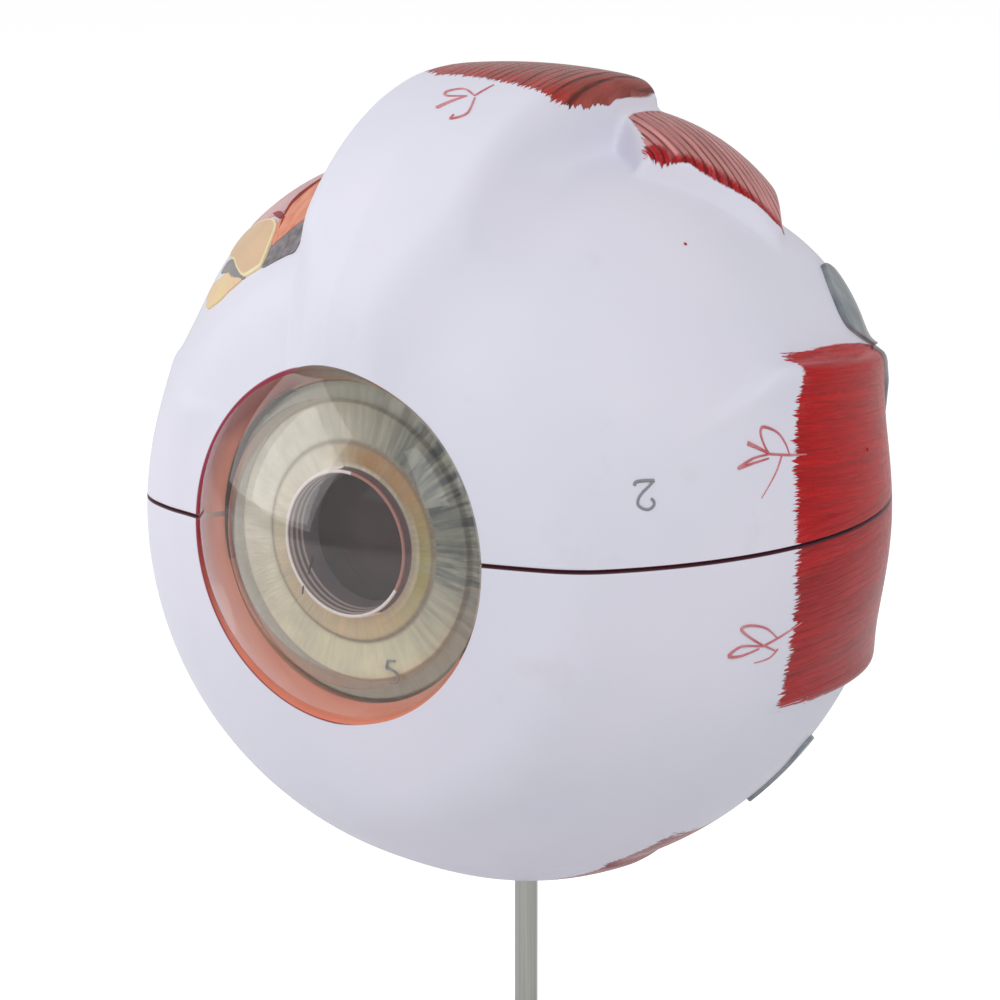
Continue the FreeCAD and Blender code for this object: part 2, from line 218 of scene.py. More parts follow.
dress("base_plate", gloss(
    "base_white", (0.80, 0.80, 0.82), (0.74, 0.74, 0.77), 14, 0.28, 0.06, 900))
dress("base_weight", gloss(
    "cast_iron", (0.045, 0.045, 0.05), (0.09, 0.085, 0.08), 90, 0.62, 0.9, 1500, 0.6))
dress("base_cover", gloss(
    "black_board", (0.012, 0.012, 0.013), (0.03, 0.03, 0.032), 400, 0.7, 0.5, 2500))
dress("base_feet", gloss(
    "foot_rubber", (0.015, 0.015, 0.016), (0.035, 0.034, 0.033), 200, 0.85, 0.3, 2000))
zinc = gloss("screw_zinc", (0.62, 0.63, 0.66), (0.5, 0.51, 0.52), 500, 0.3, 0.2, 3000, 1.0)
dress("base_screws", zinc)

# ------------------------------------------------------------------ rod
# Drawn stainless rod. A nut and washer clamp it under the base, a turned ferrule
# covers the hole above, and a steel bush in the globe takes its tip.


def drawn_steel(name, roughness):
    """Steel with fine lines along Z and faint smears."""
    tree = Nodes(name)
    place = tree.place()
    lines = tree.noise(tree.vector("MULTIPLY", place, (2600, 2600, 24)), 1.0, 4.0)
    smears = tree.noise(place, 120.0, 3.0)
    return tree.paint(
        Base_Color=tree.mix(lines, (0.27, 0.27, 0.26), (0.50, 0.50, 0.47)), Metallic=1.0,
        Roughness=tree.calc("MULTIPLY_ADD", smears, 0.14, roughness),
        Normal=tree.relief(lines, 0.25, 0.00004))


steel = drawn_steel("stainless", 0.12)
dress("support_rod", steel)
dress("rod_socket", drawn_steel("bush_steel", 0.3))
dress("rod_ferrule", gloss(
    "ferrule_nickel", (0.62, 0.62, 0.60), (0.52, 0.52, 0.50), 160, 0.2, 0.15, 1800, 1.0))
dress("rod_washer", zinc)
dress("rod_nut", zinc)
dress("locating_pins", steel)

# ------------------------------------------------------------------ white shell
# The sclera is one thick white moulding, parted a little above its middle. The
# stumps of the eye muscles, the layer window and the collar of the optic nerve
# stand on it, and are painted by hand. Three pins locate the upper half.

# Sizes are in millimetres from the globe's centre. Both halves are made from one
# description of the outside, a distance to the surface.
globe_r = 62.3
shell_inner = 57.5
seam_rise = (seam_z - eye_centre.z) / mm
axis_rise = 2.6
limbus_y = -50.2
limbus_r = 27.9
throat_y = -45.8
mouth_lean = 2.0 / 4.4
front_r = 120.0
front_centre_y = limbus_y - (front_r - math.sqrt(front_r ** 2 - limbus_r ** 2)) + front_r
rod_y = 2.0
far_off = 99.0


def join(a, b, soft):
    """Union of two distances with a fillet."""
    h = np.clip(0.5 + 0.5 * (b - a) / soft, 0, 1)
    return b + (a - b) * h - soft * h * (1 - h)


def meet(a, b, soft):
    """What two distances have in common, with a rounded edge."""
    return -join(-a, -b, soft)


def ball(p, centre, radius):
    """Distance to a ball."""
    return np.sqrt(((p - np.array(centre)) ** 2).sum(-1)) - radius


# Straight muscles: reach to nose, front and rear; widths at nose, front and rear;
# offset at the front and at the rear; radius, centre and crown of the back; edge;
# taper of the inner side toward the front
muscles = {
    "superior": dict(reach=(52, 40, 16.5), widths=(16, 34.5, 33), middle=(-1.2, 0.3),
                     bend=54.5, bend_at=(1.6, 19.1), crown=1.3, edge=4.0, taper=0.13),
    "lateral": dict(reach=(36, 10, 38), widths=(30, 54.5, 53), middle=(-3.8, 0),
                    bend=59.4, bend_at=(3.0, 0), crown=0.8, edge=2.0, taper=0.0),
    "inferior": dict(reach=(34, 14, 36), widths=(24, 44, 34), middle=(-5, -5),
                     bend=61.2, bend_at=(2.5, 2.0), crown=6.0, edge=1.2, taper=0.0),
    "medial": dict(reach=(48, 36, 34), widths=(36, 46, 34), middle=(3.4, 3.4),
                   bend=61.0, bend_at=(2.0, 0), crown=3.0, edge=2.0, taper=0.0),
}
nose_limit = 50.0
taper_from = -8
stump_above = 20


def own_frame(name, p):
    """Points in a muscle's own frame, where it lies on top of the globe."""
    x, y, z = p[..., 0], p[..., 1], p[..., 2]
    return {"superior": (x, y, z), "lateral": (-z, y, x),
            "inferior": (-x, y, -z), "medial": (z, y, -x)}[name]


def strap(name, p):
    """Distance to a straight muscle's stump."""
    m = muscles[name]
    x, y, z = own_frame(name, p)
    nose, front, rear = m["reach"]
    at_nose, at_front, at_rear = (w / 2 for w in m["widths"])
    start, end = m["middle"]
    back_share = (y + front) / (front + rear)
    flare = at_nose + (at_front - at_nose) * (y + nose) / (nose - front)
    flank = at_front + (at_rear - at_front) * back_share
    middle = start + (end - start) * np.clip(back_share, 0, 1)
    side = np.abs(x - middle) - join(flare, flank, 1.6)
    side = side + m["taper"] * np.clip(taper_from - y, 0, 40) * (x < middle)
    bow = m["crown"] * (2 * (x - start) / max(m["widths"])) ** 2
    back = np.hypot(y - m["bend_at"][0], z - m["bend_at"][1]) - (m["bend"] - bow)
    ends = meet(y - rear, -y - min(nose, nose_limit), 1.0)
    return np.where(z > stump_above, meet(meet(back, side, m["edge"]), ends, 1.5), far_off)


# Superior oblique: a fan-shaped pad, turned and tilted toward the outer side. It has
# a frame of its own, with Y along its fibres.
oblique_half = 13.3
oblique_start = 6.0
oblique_bow = 2.6
oblique_width = 25.0
oblique_flare = 0.36
oblique_back, oblique_back_r = (-2.3, 15.1, 28.4), 37.6
front_slope, front_scale = 0.6, 0.86
turn, tilt = math.radians(36), math.radians(36)
to_oblique = np.array(Matrix.Rotation(-turn, 3, "Z") @ Matrix.Rotation(-tilt, 3, "Y"))


def oblique(p):
    """Distance to the superior oblique's pad, which has a sloped front wall."""
    q = p @ to_oblique.T
    x, y, z = q[..., 0], q[..., 1], q[..., 2]
    front = oblique_start + oblique_bow * (1 - (x / oblique_half) ** 2)
    flare = oblique_flare * np.clip(y - 8, 0, 10) * (x < 0)
    ramp = (front - y + front_slope * (z - globe_r)) * front_scale
    side = np.abs(x) - oblique_half - flare
    body = meet(meet(ball(q, oblique_back, oblique_back_r), side, 1.6), ramp, 1.4)
    return meet(body, y - oblique_start - oblique_width, 2.2)


window_ball, window_ball_r = np.array((-0.545, -0.315, 0.777)) * 24.7, 39.8
swell_ball, swell_ball_r = np.array((0.655, 0.455, 0.603)) * 36.9, 28.0
nerve_at = (-15.0, -6.6)
collar_r, collar_start, collar_end, collar_lean = 13.0, 46, 64, 0.133
fillet = 1.6


def outside(p):
    """Distance to the outside of the whole white shell."""
    x, y, z = p[..., 0], p[..., 1], p[..., 2]
    skin = meet(ball(p, (0, 0, 0), globe_r), ball(p, (0, front_centre_y, 0), front_r), 1.8)
    # The superior rectus runs into the globe softly toward its nose and outer side
    forward, outward = np.clip((-10 - y) / 24, 0, 1), np.clip((x + 12) / 12, 0, 1)
    skin = join(skin, strap("superior", p), fillet + forward * (1.5 + 7.5 * outward))
    for name in ("lateral", "inferior", "medial"):
        skin = join(skin, strap(name, p), fillet)
    skin = join(skin, np.where(z > 0, oblique(p), far_off), 1.2)
    skin = join(skin, ball(p, window_ball, window_ball_r), 1.0)
    skin = join(skin, ball(p, swell_ball, swell_ball_r), 4.0)
    out = np.hypot(x - nerve_at[0], z - nerve_at[1])
    collar = meet(out - collar_r + (y - collar_start) * collar_lean, y - collar_end, 1.0)
    return join(skin, np.where(y > 30, collar, far_off), 3.0)


def halved(inner, outer, halvings, is_inside):
    """Narrows a span for each point down to where it leaves the shell."""
    for _ in range(halvings):
        half = (inner + outer) / 2
        inside = is_inside(half)
        inner, outer = np.where(inside, half, inner), np.where(inside, outer, half)
    return inner, outer


def onto_shell(origin, ways):
    """Points where rays from an origin inside leave the shell."""
    ways = ways / np.linalg.norm(ways, axis=-1, keepdims=True)
    near, far = (np.full(ways.shape[:-1], reach) for reach in (30.0, 76.0))
    near, far = halved(near, far, 20, lambda r: outside(origin + ways * r[..., None]) < 0)
    return origin + ways * ((near + far) / 2)[..., None]


def arc_through(side, top, columns):
    """Arc from a point (x, y, z) over a top point (0, y, z) to the first's mirror."""
    foot = np.array((0, side[1], side[2]))
    up = np.array((0.0, top[1], top[2])) - foot
    height = np.linalg.norm(up)
    up = up / height
    centre = (height ** 2 - side[0] ** 2) / (2 * height)
    start = math.atan2(-centre, side[0])
    angles = np.linspace(start, math.pi - start, columns + 1)
    radius = height - centre
    return foot + radius * np.cos(angles)[:, None] * np.array((1.0, 0, 0)) + (
        centre + radius * np.sin(angles))[:, None] * up


def mouth_r(y):
    """Radius of the tapered opening at a depth."""
    return limbus_r - mouth_lean * (y - limbus_y)


def mouth_ring(y, end_y, z, sign):
    """Half of the mouth, at a depth y for each point, from where it meets a level z."""
    end = math.asin((z - axis_rise) / mouth_r(end_y))
    angles = np.linspace(end, math.copysign(math.pi, sign) - end, len(y))
    r = mouth_r(y)
    return np.stack([r * np.cos(angles), y, axis_rise + r * np.sin(angles)], -1)


def half_shell(sign, rows=262, columns=330, chamfer=0.35):
    """Closed solid of one half, with its mouth but without its hollow, in millimetres."""
    edge_z = seam_rise + sign * chamfer
    rear_angle, rear_r = math.radians(128), 62
    wide = columns + 1
    y = np.full(wide, limbus_y)
    for _ in range(5):
        end_y = y[0]
        deep, shallow = np.full(wide, -47.0), np.full(wide, -54.0)
        deep, shallow = halved(deep, shallow, 21, lambda at: outside(
            mouth_ring(at, end_y, edge_z, sign)) < 0)
        y = (deep + shallow) / 2
    limbus = mouth_ring(y, end_y, edge_z, sign)
    origin = np.array((0, 0, edge_z))
    corner, crest = limbus[0], limbus[columns // 2]
    first = math.atan2(corner[0], -corner[1])
    crest_angle = math.atan2(sign * (crest[2] - edge_z), -crest[1])
    grid = [limbus]
    for i in range(1, rows + 1):
        t = i / rows
        a = first + (rear_angle - first) * t
        e = crest_angle + (math.pi - crest_angle) * t
        side_r = np.hypot(corner[0], corner[1]) * (1 - t) + rear_r * t
        crest_r = np.hypot(crest[1], crest[2] - edge_z) * (1 - t) + rear_r * t
        side = (side_r * math.sin(a), -side_r * math.cos(a), edge_z)
        arc = arc_through(side, (0, -crest_r * math.cos(e),
                                 edge_z + sign * crest_r * math.sin(e)), columns)
        level = slice(None) if i == rows else [0, -1]
        arc[level, 2] = edge_z
        ring = onto_shell(origin, arc - origin)
        ring[level, 2] = edge_z
        grid.append(ring)

    points = [tuple(v) for v in np.array(grid).reshape(-1, 3)]
    faces = [(a, a + 1, a + 1 + wide, a + wide)
             for i in range(rows) for a in range(i * wide, i * wide + columns)]
    mouth_rings = []
    floor_y = throat_y + 2
    above = 0
    for share in (chamfer / 8, 0.25, 0.5, 0.75, 1.0):
        ring_y = limbus[:, 1] + (floor_y - limbus[:, 1]) * share
        start = len(points)
        points += [tuple(v) for v in mouth_ring(ring_y, ring_y[0], seam_rise, sign)]
        faces += [(above + j, start + j, start + j + 1, above + j + 1) for j in range(columns)]
        mouth_rings.append(start)
        above = start
    faces.append(tuple(mouth_rings[-1] + j for j in range(wide)))

    border = [i * wide for i in range(rows + 1)]
    border += [rows * wide + j for j in range(1, columns)]
    border += [i * wide + columns for i in range(rows, -1, -1)]
    strip = [mouth_rings[0]]
    for index in border[1:-1]:
        x, y, _ = points[index]
        inward = 1 - chamfer / math.hypot(x, y)
        strip.append(len(points))
        points.append((x * inward, y * inward, seam_rise))
    strip.append(mouth_rings[0] + columns)
    faces += [(border[k], border[k + 1], strip[k + 1], strip[k]) for k in range(len(border) - 1)]
    faces.append(tuple(strip) + tuple(start + columns for start in mouth_rings[1:])
                 + tuple(start for start in mouth_rings[:0:-1]))
    return points, faces


def solid(name, points, faces):
    """Mesh object from points in millimetres from the globe's centre."""
    mesh = bpy.data.meshes.new(name)
    mesh.from_pydata([eye_centre + mm * Vector(p) for p in points], [], faces)
    build = bmesh.new()
    build.from_mesh(mesh)
    bmesh.ops.remove_doubles(build, verts=build.verts, dist=0.5e-6)
    bmesh.ops.recalc_face_normals(build, faces=build.faces)
    build.to_mesh(mesh)
    build.free()
    made = bpy.data.objects.new(name, mesh)
    bpy.context.collection.objects.link(made)
    return made


def skinned(rings, wide):
    """Faces between (first point, is a pole) rings that follow one another in a loop."""
    faces = []
    for (a, a_pole), (b, b_pole) in zip(rings, rings[1:] + rings[:1]):
        if a_pole and b_pole:
            continue
        for k in range(wide):
            n = (k + 1) % wide
            faces.append(tuple(dict.fromkeys((a if a_pole else a + k, b if b_pole else b + k,
                                              b if b_pole else b + n, a if a_pole else a + n))))
    return faces


def turned(name, profile, segments, axis="Y", centre=(0, 0, axis_rise)):
    """Solid of revolution from (radius, place along the axis) steps."""
    points, rings = [], []
    for r, along in profile:
        rings.append((len(points), r < 1e-6))
        for k in range(1 if r < 1e-6 else segments):
            c = r * math.cos(2 * math.pi * k / segments)
            s = r * math.sin(2 * math.pi * k / segments)
            spot = (c, along, s) if axis == "Y" else (c, s, along)
            points.append(tuple(a + b for a, b in zip(spot, centre)))
    return solid(name, points, skinned(rings, segments))


def rod_shape(radius, start, end, axis, centre, segments=64):
    """A round tool for a hole."""
    return turned("tool", [(0, start), (radius, start), (radius, end), (0, end)], segments,
                  axis, centre)


def carve(body, tool):
    """Cuts a tool out of a body, and removes the tool."""
    cut = body.modifiers.new("cut", "BOOLEAN")
    cut.operation = "DIFFERENCE"
    cut.solver = "MANIFOLD"
    cut.object = tool
    graph = bpy.context.evaluated_depsgraph_get()
    mesh = bpy.data.meshes.new_from_object(body.evaluated_get(graph))
    body.modifiers.remove(cut)
    old = body.data
    body.data = mesh
    bpy.data.meshes.remove(old)
    bpy.data.objects.remove(tool)


boss_r, boss_top = 8.0, -54.8
bush_hole_r, nerve_hole_r, pin_hole_r = 4.05, 9.05, 1.55
pin_ring = (globe_r + shell_inner) / 2


def hollow():
    """The room inside the shell: a ball with a flat front, less the boss for the rod."""
    start = math.acos(-throat_y / shell_inner)
    arc = [(shell_inner * math.sin(a), -shell_inner * math.cos(a))
           for a in np.linspace(start, math.pi, 72)]
    arc[-1] = (0, shell_inner)
    room = turned("room", [(0, throat_y)] + arc, 144, centre=(0, 0, 0))
    carve(room, rod_shape(boss_r, -64, boss_top, "Z", (0, rod_y, 0)))
    return room


shells = {}
for name, sign in (("upper_sclera", 1), ("lower_sclera", -1)):
    shell = solid(name + "_shell", *half_shell(sign))
    carve(shell, hollow())
    reach = (seam_rise - 1, seam_rise + 3.3) if sign > 0 else (seam_rise - 5, seam_rise + 1)
    for turn in map(math.radians, (-20, 75, 200)):
        spot = (pin_ring * math.cos(turn), pin_ring * math.sin(turn), 0)
        carve(shell, rod_shape(pin_hole_r, *reach, "Z", spot, 32))
    if sign < 0:
        carve(shell, rod_shape(nerve_hole_r, 20, 80, "Y", (nerve_at[0], 0, nerve_at[1])))
        carve(shell, rod_shape(bush_hole_r, -80, -20, "Z", (0, rod_y, 0)))
    shell.data.shade_smooth()
    shell.data.set_sharp_from_angle(angle=math.radians(48))
    shells[name] = shell


def tones(a, b, share):
    """A share of the second colour over the first, for each point."""
    return np.array(a) + (np.array(b) - np.array(a)) * np.clip(share, 0, 1)[:, None]


area_step = 40.0            # sets the muscles apart in their noise


def area(inside, across, along, share, flesh, groove):
    """One painted stump. Its flesh and its grooves each go from one red to another."""
    return inside, across, along, tones(*flesh, share), tones(*groove, share)


def painted(p):
    """Paint on the shell: how far each point lies inside the painted part of a muscle,
    where it lies across and along the fibres, and the reds of flesh and grooves there."""
    within = np.minimum.reduce
    x, y, z = p.T
    front = -11.2 - 0.13 * x + 0.45 * np.clip(-9 - x, 0, 20)
    foot = np.where(x > 13, 67.5 + 0.9 * np.clip((y - 1) / 2.5, 0, 1)
                    + 0.14 * np.clip(-2 - y, 0, 20), 56.0)
    superior = area(within([y - front, 21.5 - x, x + 17.5, 17.4 - y, z - foot]),
                    0.9 * x + 0.06 * y, y, 1.1 - (y - front) / 7,
                    ((0.46, 0.095, 0.078), (0.56, 0.035, 0.024)),
                    ((0.10, 0.026, 0.02), (0.16, 0.01, 0.007)))

    qx, qy, _ = (p @ to_oblique.T).T
    front = 10.0 - 2.4 * np.clip((-6 - qx) / 4.5, 0, 1) + 0.6 * np.clip(qx - 12, 0, 20)
    lobe = np.minimum(2.1 - np.hypot(qx + 11.2, qy - 9.6), qx + 13.4)
    pad = within([qy - front, 14.6 - qx, qx + 12.6 + oblique_flare * np.clip(qy - 9, 0, 11),
                  32.2 - qy, z - 20, strap("superior", p) - 0.5,
                  ball(p, (0, 0, 0), globe_r + 1.5 * np.clip((12 - qx) / 22, 0, 1))])
    slanting = area(np.maximum(lobe, pad), 0.64 * qx + 0.54 * qy, 0.765 * qy - 0.644 * qx,
                    np.maximum(2.4 - (qy - front) / 0.8, lobe * 2),
                    ((0.84, 0.35, 0.34), (0.50, 0.006, 0.010)),
                    ((0.22, 0.065, 0.06), (0.18, 0.002, 0.004)))

    front = -13.1 + np.where(z > 0, 0.0075, 0.004) * z ** 2
    top = 31.4 - 0.004 * np.clip(y, 0, 40) ** 2
    bottom = -23.9 - 0.06 * np.clip(y, -10, 40)
    lateral = area(within([y - front, top - z, z - bottom, 38.9 - y, x - 34]),
                   z + np.where(z > 7, 0.10, -0.02) * y, y, (7 - z) / 9,
                   ((0.56, 0.002, 0.005), (0.48, 0.014, 0.018)),
                   ((0.26, 0.002, 0.004), (0.18, 0.006, 0.009)))

    front = -15.5 + 0.004 * (x - 10) ** 2
    inferior = area(within([y - front, 38.5 - x, x + 20, 36.9 - y, -34 - z]), x, y, y,
                    [(0.36, 0.03, 0.035)] * 2, [(0.17, 0.012, 0.018)] * 2)

    front = -11 + 0.01 * z ** 2
    medial = area(within([y - front, 25 - np.abs(z - 3.4), 34.9 - y, -40 - x]),
                  z + 0.15 * y, y, -z / 8, ((0.50, 0.02, 0.024), (0.42, 0.05, 0.055)),
                  ((0.26, 0.01, 0.014), (0.22, 0.02, 0.022)))

    inside, *rest = (np.stack(values) for values in zip(
        superior, slanting, lateral, inferior, medial))
    best = inside.argmax(0)
    across, along, flesh, groove = (values[best, np.arange(len(p))] for values in rest)
    return inside.max(0), np.stack([across, along, best * area_step], -1), flesh, groove


def write(mesh, name, kind, values):
    """Keeps a value for each point of a mesh, for its material to read."""
    size = {"FLOAT": "value", "FLOAT_VECTOR": "vector", "FLOAT_COLOR": "color"}[kind]
    values = np.asarray(values, np.float32)
    if kind == "FLOAT_COLOR":
        values = np.concatenate([values, np.ones((len(values), 1), np.float32)], 1)
    mesh.attributes.new(name, kind, "POINT").data.foreach_set(size, values.ravel())


def places(items, what="co"):
    """Points or face middles of a mesh, in millimetres from the globe's centre."""
    p = np.empty(len(items) * 3, np.float32)
    items.foreach_get(what, p)
    return (p.reshape(-1, 3).astype(float) - np.array(eye_centre)) / mm


tree = Nodes("sclera_paint")
place = tree.place()
clouds = tree.noise(place, 22.0, 3.0)
fine = tree.noise(place, 260.0, 2.0)
smear = tree.noise(place, 55.0, 5.0, Roughness=0.6)
fibre = tree.read("fibre", "Vector")


def strokes_at(tree, across, along, detail, rough=0.55):
    """Noise drawn out along the fibres."""
    return tree.noise(tree.vector("MULTIPLY", fibre, (across, along, 1)), 1.0, detail,
                      Roughness=rough)


enamel = tree.mix(tree.between(clouds, 0.35, 0.65), (0.83, 0.815, 0.92), (0.78, 0.785, 0.895))
enamel = tree.mix(tree.between(smear, 0.62, 0.8), enamel, (0.93, 0.92, 0.90), "MULTIPLY")
bristles = strokes_at(tree, 2.6, 0.14, 4.0, 0.7)
waver = tree.calc("MULTIPLY", strokes_at(tree, 0.25, 0.05, 2.0), 5.0)
wave = tree.calc("SINE", tree.calc("MULTIPLY_ADD", tree("SeparateXYZ", i0=fibre), 4.4, waver))
grooves = tree.calc("MULTIPLY", tree.between(wave, 0.35, 0.9),
                    tree.between(strokes_at(tree, 0.9, 0.07, 2.0), 0.32, 0.5))
grooves = tree.calc("MULTIPLY", grooves, tree.read("lined"))
tips = tree.calc("MULTIPLY", tree.between(bristles, 0.3, 0.7, -1, 1), tree.read("ragged"))
edge = tree.calc("ADD", tips, tree.read("paint"))
mask = tree.between(edge, -0.06, 0.14)
flesh, groove = tree.read("flesh", "Color"), tree.read("groove", "Color")
red = tree.mix(tree.between(strokes_at(tree, 0.55, 0.03, 3.0), 0.35, 0.65, 0.0, 0.5),
               flesh, groove)
red = tree.mix(grooves, red, groove)
red = tree.mix(0.55, red, tree.mix(tree.between(bristles, 0.3, 0.7), (0.6, 0.5, 0.5),
                                   (1.4, 1.35, 1.35)), "MULTIPLY")
thin = tree.calc("MULTIPLY", tree.between(edge, 3.2, 0.2, 0.0, 0.25),
                 tree.between(strokes_at(tree, 1.9, 0.1, 3.0), 0.5, 0.68))
red = tree.mix(thin, red, (0.66, 0.22, 0.24))
colour = tree.mix(mask, enamel, red)
colour = tree.mix(tree.between(tree.read("limbus"), 0.62, 0.40), colour, (0.30, 0.03, 0.06))
colour = tree.mix(tree.between(tree.read("parting"), 0.42, 0.30), colour, (0.075, 0.02, 0.03))
height = tree.calc("MULTIPLY_ADD", tree.calc("SUBTRACT", bristles, grooves), mask,
                   tree.calc("MULTIPLY", fine, 0.012))
sclera_paint = tree.paint(
    Base_Color=colour, Normal=tree.relief(height, 0.5, 0.0005), Specular_IOR_Level=0.12,
    Roughness=tree.between(tree.calc("SUBTRACT", fine, mask), -0.7, 0.7, 0.22, 0.42),
    Coat_Weight=tree.calc("MULTIPLY", mask, 0.08), Coat_Roughness=0.12)

tree = Nodes("mouth_paint")
clouds = tree.noise(tree.place(), 70.0, 5.0)
colour = tree.mix(clouds, (0.92, 0.36, 0.24), (0.82, 0.20, 0.13))
# The wall is salmon red, deeper red on the upper nose side. A grey-brown band at its top is
# painted shade, and a near-white band on its outer side is a painted highlight on the lip.
for name, tone in (("deep", (0.36, 0.022, 0.014)), ("top_shade", (0.33, 0.29, 0.25)),
                   ("lit_rim", (0.95, 0.94, 0.97))):
    colour = tree.mix(tree.read(name), colour, tone)
colour = tree.mix(tree.between(tree.read("parting"), 0.5, 0.36), colour, (0.40, 0.20, 0.16))
mouth_paint = tree.paint(Base_Color=colour, Roughness=0.35,
                         Normal=tree.relief(clouds, 0.3, 0.0003))



def toward_side(clock, degrees, steep, less):
    """1 on one bearing of the mouth, falling to 0 away from it."""
    return np.clip(np.cos(clock - math.radians(degrees)) * steep - less, 0, 1)


for name, shell in shells.items():
    mesh = shell.data
    p = places(mesh.vertices)
    inside, fibre, flesh, groove = painted(p)
    x, y, z = p.T
    out = np.hypot(x, z - axis_rise)
    clock = np.arctan2(z - axis_rise, x)
    write(mesh, "fibre", "FLOAT_VECTOR", fibre)
    write(mesh, "flesh", "FLOAT_COLOR", flesh)
    write(mesh, "groove", "FLOAT_COLOR", groove)
    for title, values in (
            ("paint", inside), ("lined", np.where(fibre[:, 2] < 1.5 * area_step, 1.0, 0.22)),
            ("ragged", np.clip((6 - y) / 10, 0.12, 1.3)), ("parting", np.abs(z - seam_rise)),
            # The crimson limbus line thins out toward the outer side, where the lip is left white
            # as part of the painted highlight.
            ("limbus", np.where(y < -40, np.abs(out - limbus_r) + np.clip(x, 0, 20) * 0.05, 9)),
            ("deep", toward_side(clock, 150, 1.6, 0.35) * np.clip(
                1.15 - (y - limbus_y) / 3.2, 0, 1) + toward_side(clock, 122, 8, 7)),
            # Painted shade at the top of the mouth wall, and a painted highlight on its outer
            # side.
            ("top_shade", toward_side(clock, 82, 6, 5)),
            ("lit_rim", toward_side(clock, math.degrees(0.35), 2.2, 1.2))):
        write(mesh, title, "FLOAT", values)
    mesh.materials.clear()
    mesh.materials.append(sclera_paint)
    mesh.materials.append(mouth_paint)
    x, y, z = places(mesh.polygons, "center").T
    wall = (np.hypot(x, z - axis_rise) < mouth_r(y) + 0.05) & (y < throat_y + 0.1)
    mesh.polygons.foreach_set("material_index", wall.astype(np.int32))
    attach(shell, "upper_shell" if name == "upper_sclera" else "lower_globe")
    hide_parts(name)

# ------------------------------------------------------------------ layer window
# On the upper inner side the shell bulges, and its layers are modelled there as low
# painted fields: sclera, tendon, choroid and vessels, one on top of the other. A dark
# field in a gap between two of them is painted shadow.


def smooth_line(points, per=8, closed=False):
    """Points on a smooth curve through the given ones."""
    points = np.array(points, float)
    count = len(points)
    out = []
    for i in range(count if closed else count - 1):
        a, b, c, d = (points[(i + k) % count] if closed else points[min(max(i + k, 0), count - 1)]
                      for k in (-1, 0, 1, 2))
        for t in np.arange(per) / per:
            out.append(0.5 * (2 * b + (c - a) * t + (2 * a - 5 * b + 4 * c - d) * t ** 2
                              + (3 * b - a - 3 * c + d) * t ** 3))
    return np.array(out if closed else out + [points[-1]])


def on_shell(points, lift=0.0):
    """Puts points on the white shell, or lifted off it, along lines from the centre."""
    ways = points / np.linalg.norm(points, axis=-1, keepdims=True)
    return onto_shell(np.zeros(3), ways) + ways * np.asarray(lift)[..., None]


def field(name, lift, material, outline, body="upper_shell", rings=14, per=10, place=on_shell):
    """A low painted field with a rounded edge, closed below, inside a smooth outline."""
    rim = smooth_line(outline, per, closed=True)
    middle = rim.mean(0)
    sunk = -0.4
    levels = [(1.0, sunk), (1.0, 0.3 * lift), (1 - 0.006, 0.75 * lift), (1 - 0.02, lift)]
    levels += [(s, lift) for s in np.linspace(0.95, 0, rings)]
    levels += [(s, sunk) for s in np.linspace(0, 0.92, rings // 2)]
    points, starts, shares = [], [], []
    for share, rise in levels:
        pole = share < 1e-6
        starts.append((len(points), pole))
        ring = middle + (rim[:1] if pole else rim) * share - middle * share
        points += list(place(ring, np.full(len(ring), rise)))
        shares += [share] * len(ring)
    made = solid(name, points, skinned(starts, len(rim)))
    flat = np.array(points)
    near = [np.argmin(((flat - v) ** 2).sum(1)) for v in places(made.data.vertices)]
    write(made.data, "rim", "FLOAT", np.array(shares)[near])
    made.data.materials.append(material)
    made.data.shade_smooth()
    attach(made, body)


def streaked(name, colour, second, stretch, roughness=0.35, edge=None, edge_at=0.9):
    """Brushed paint: two tones in strokes drawn out along one way, and an edge tone."""
    tree = Nodes(name)
    drawn = tree.noise(tree.vector("MULTIPLY", tree.place(), stretch), 1.0, 4.0)
    tone = tree.mix(tree.between(drawn, 0.36, 0.64), colour, second)
    if edge:
        tone = tree.mix(tree.between(tree.read("rim"), edge_at - 0.02, edge_at + 0.02), tone, edge)
    return tree.paint(Base_Color=tone, Roughness=roughness, Coat_Weight=0.3,
                      Coat_Roughness=0.15, Normal=tree.relief(drawn, 0.4, 0.0003))


pink = streaked("window_pink", (0.74, 0.43, 0.43), (0.62, 0.30, 0.32), (160, 90, 160))
slate = streaked("window_slate", (0.10, 0.09, 0.105), (0.24, 0.20, 0.215), (900, 300, 900))
salmon = streaked("window_salmon", (0.86, 0.33, 0.18), (0.72, 0.20, 0.11), (800, 200, 420))
tan = streaked("window_tan", (0.76, 0.51, 0.30), (0.69, 0.45, 0.25), (90, 60, 200),
               edge=(0.88, 0.76, 0.46), edge_at=0.92)
yellow = streaked("window_yellow", (0.88, 0.65, 0.31), (0.86, 0.56, 0.36), (200, 200, 120))
# Dark grey paint for the painted shadow in the gap between the tan and the yellow fields.
shade = streaked("window_shade", (0.16, 0.15, 0.15), (0.24, 0.23, 0.22), (200, 200, 200))
crimson = streaked("crimson_paint", (0.34, 0.004, 0.014), (0.22, 0.002, 0.008), (400, 400, 400),
                   0.5)
field("window_ground", 0.2, pink, [
    (-27.2, -29.2, 50.1), (-28.9, -28.6, 49.6), (-31, -28, 48.6), (-33.2, -27.6, 47.7),
    (-36, -26, 46.5), (-38, -20, 48), (-37, -14, 50.5), (-33, -12, 53.5), (-29, -14, 55.5),
    (-25.2, -17.6, 56.2), (-24.4, -22.9, 54.4), (-25.1, -25.8, 52.8), (-25.6, -27.7, 51.6)])
field("window_grey", 0.2, slate, [
    (-17.4, -31.5, 51), (-16.4, -34.5, 49.2), (-15.7, -37, 47.9), (-15.6, -39.2, 46.2),
    (-17.4, -39.1, 45.4), (-19.2, -39.3, 44.6), (-22.4, -39.3, 42.9), (-22.8, -37.7, 44.4),
    (-23.4, -35.9, 46), (-22.8, -35.3, 46.7), (-21.4, -34.3, 48.0), (-19.7, -32.7, 49.8)])
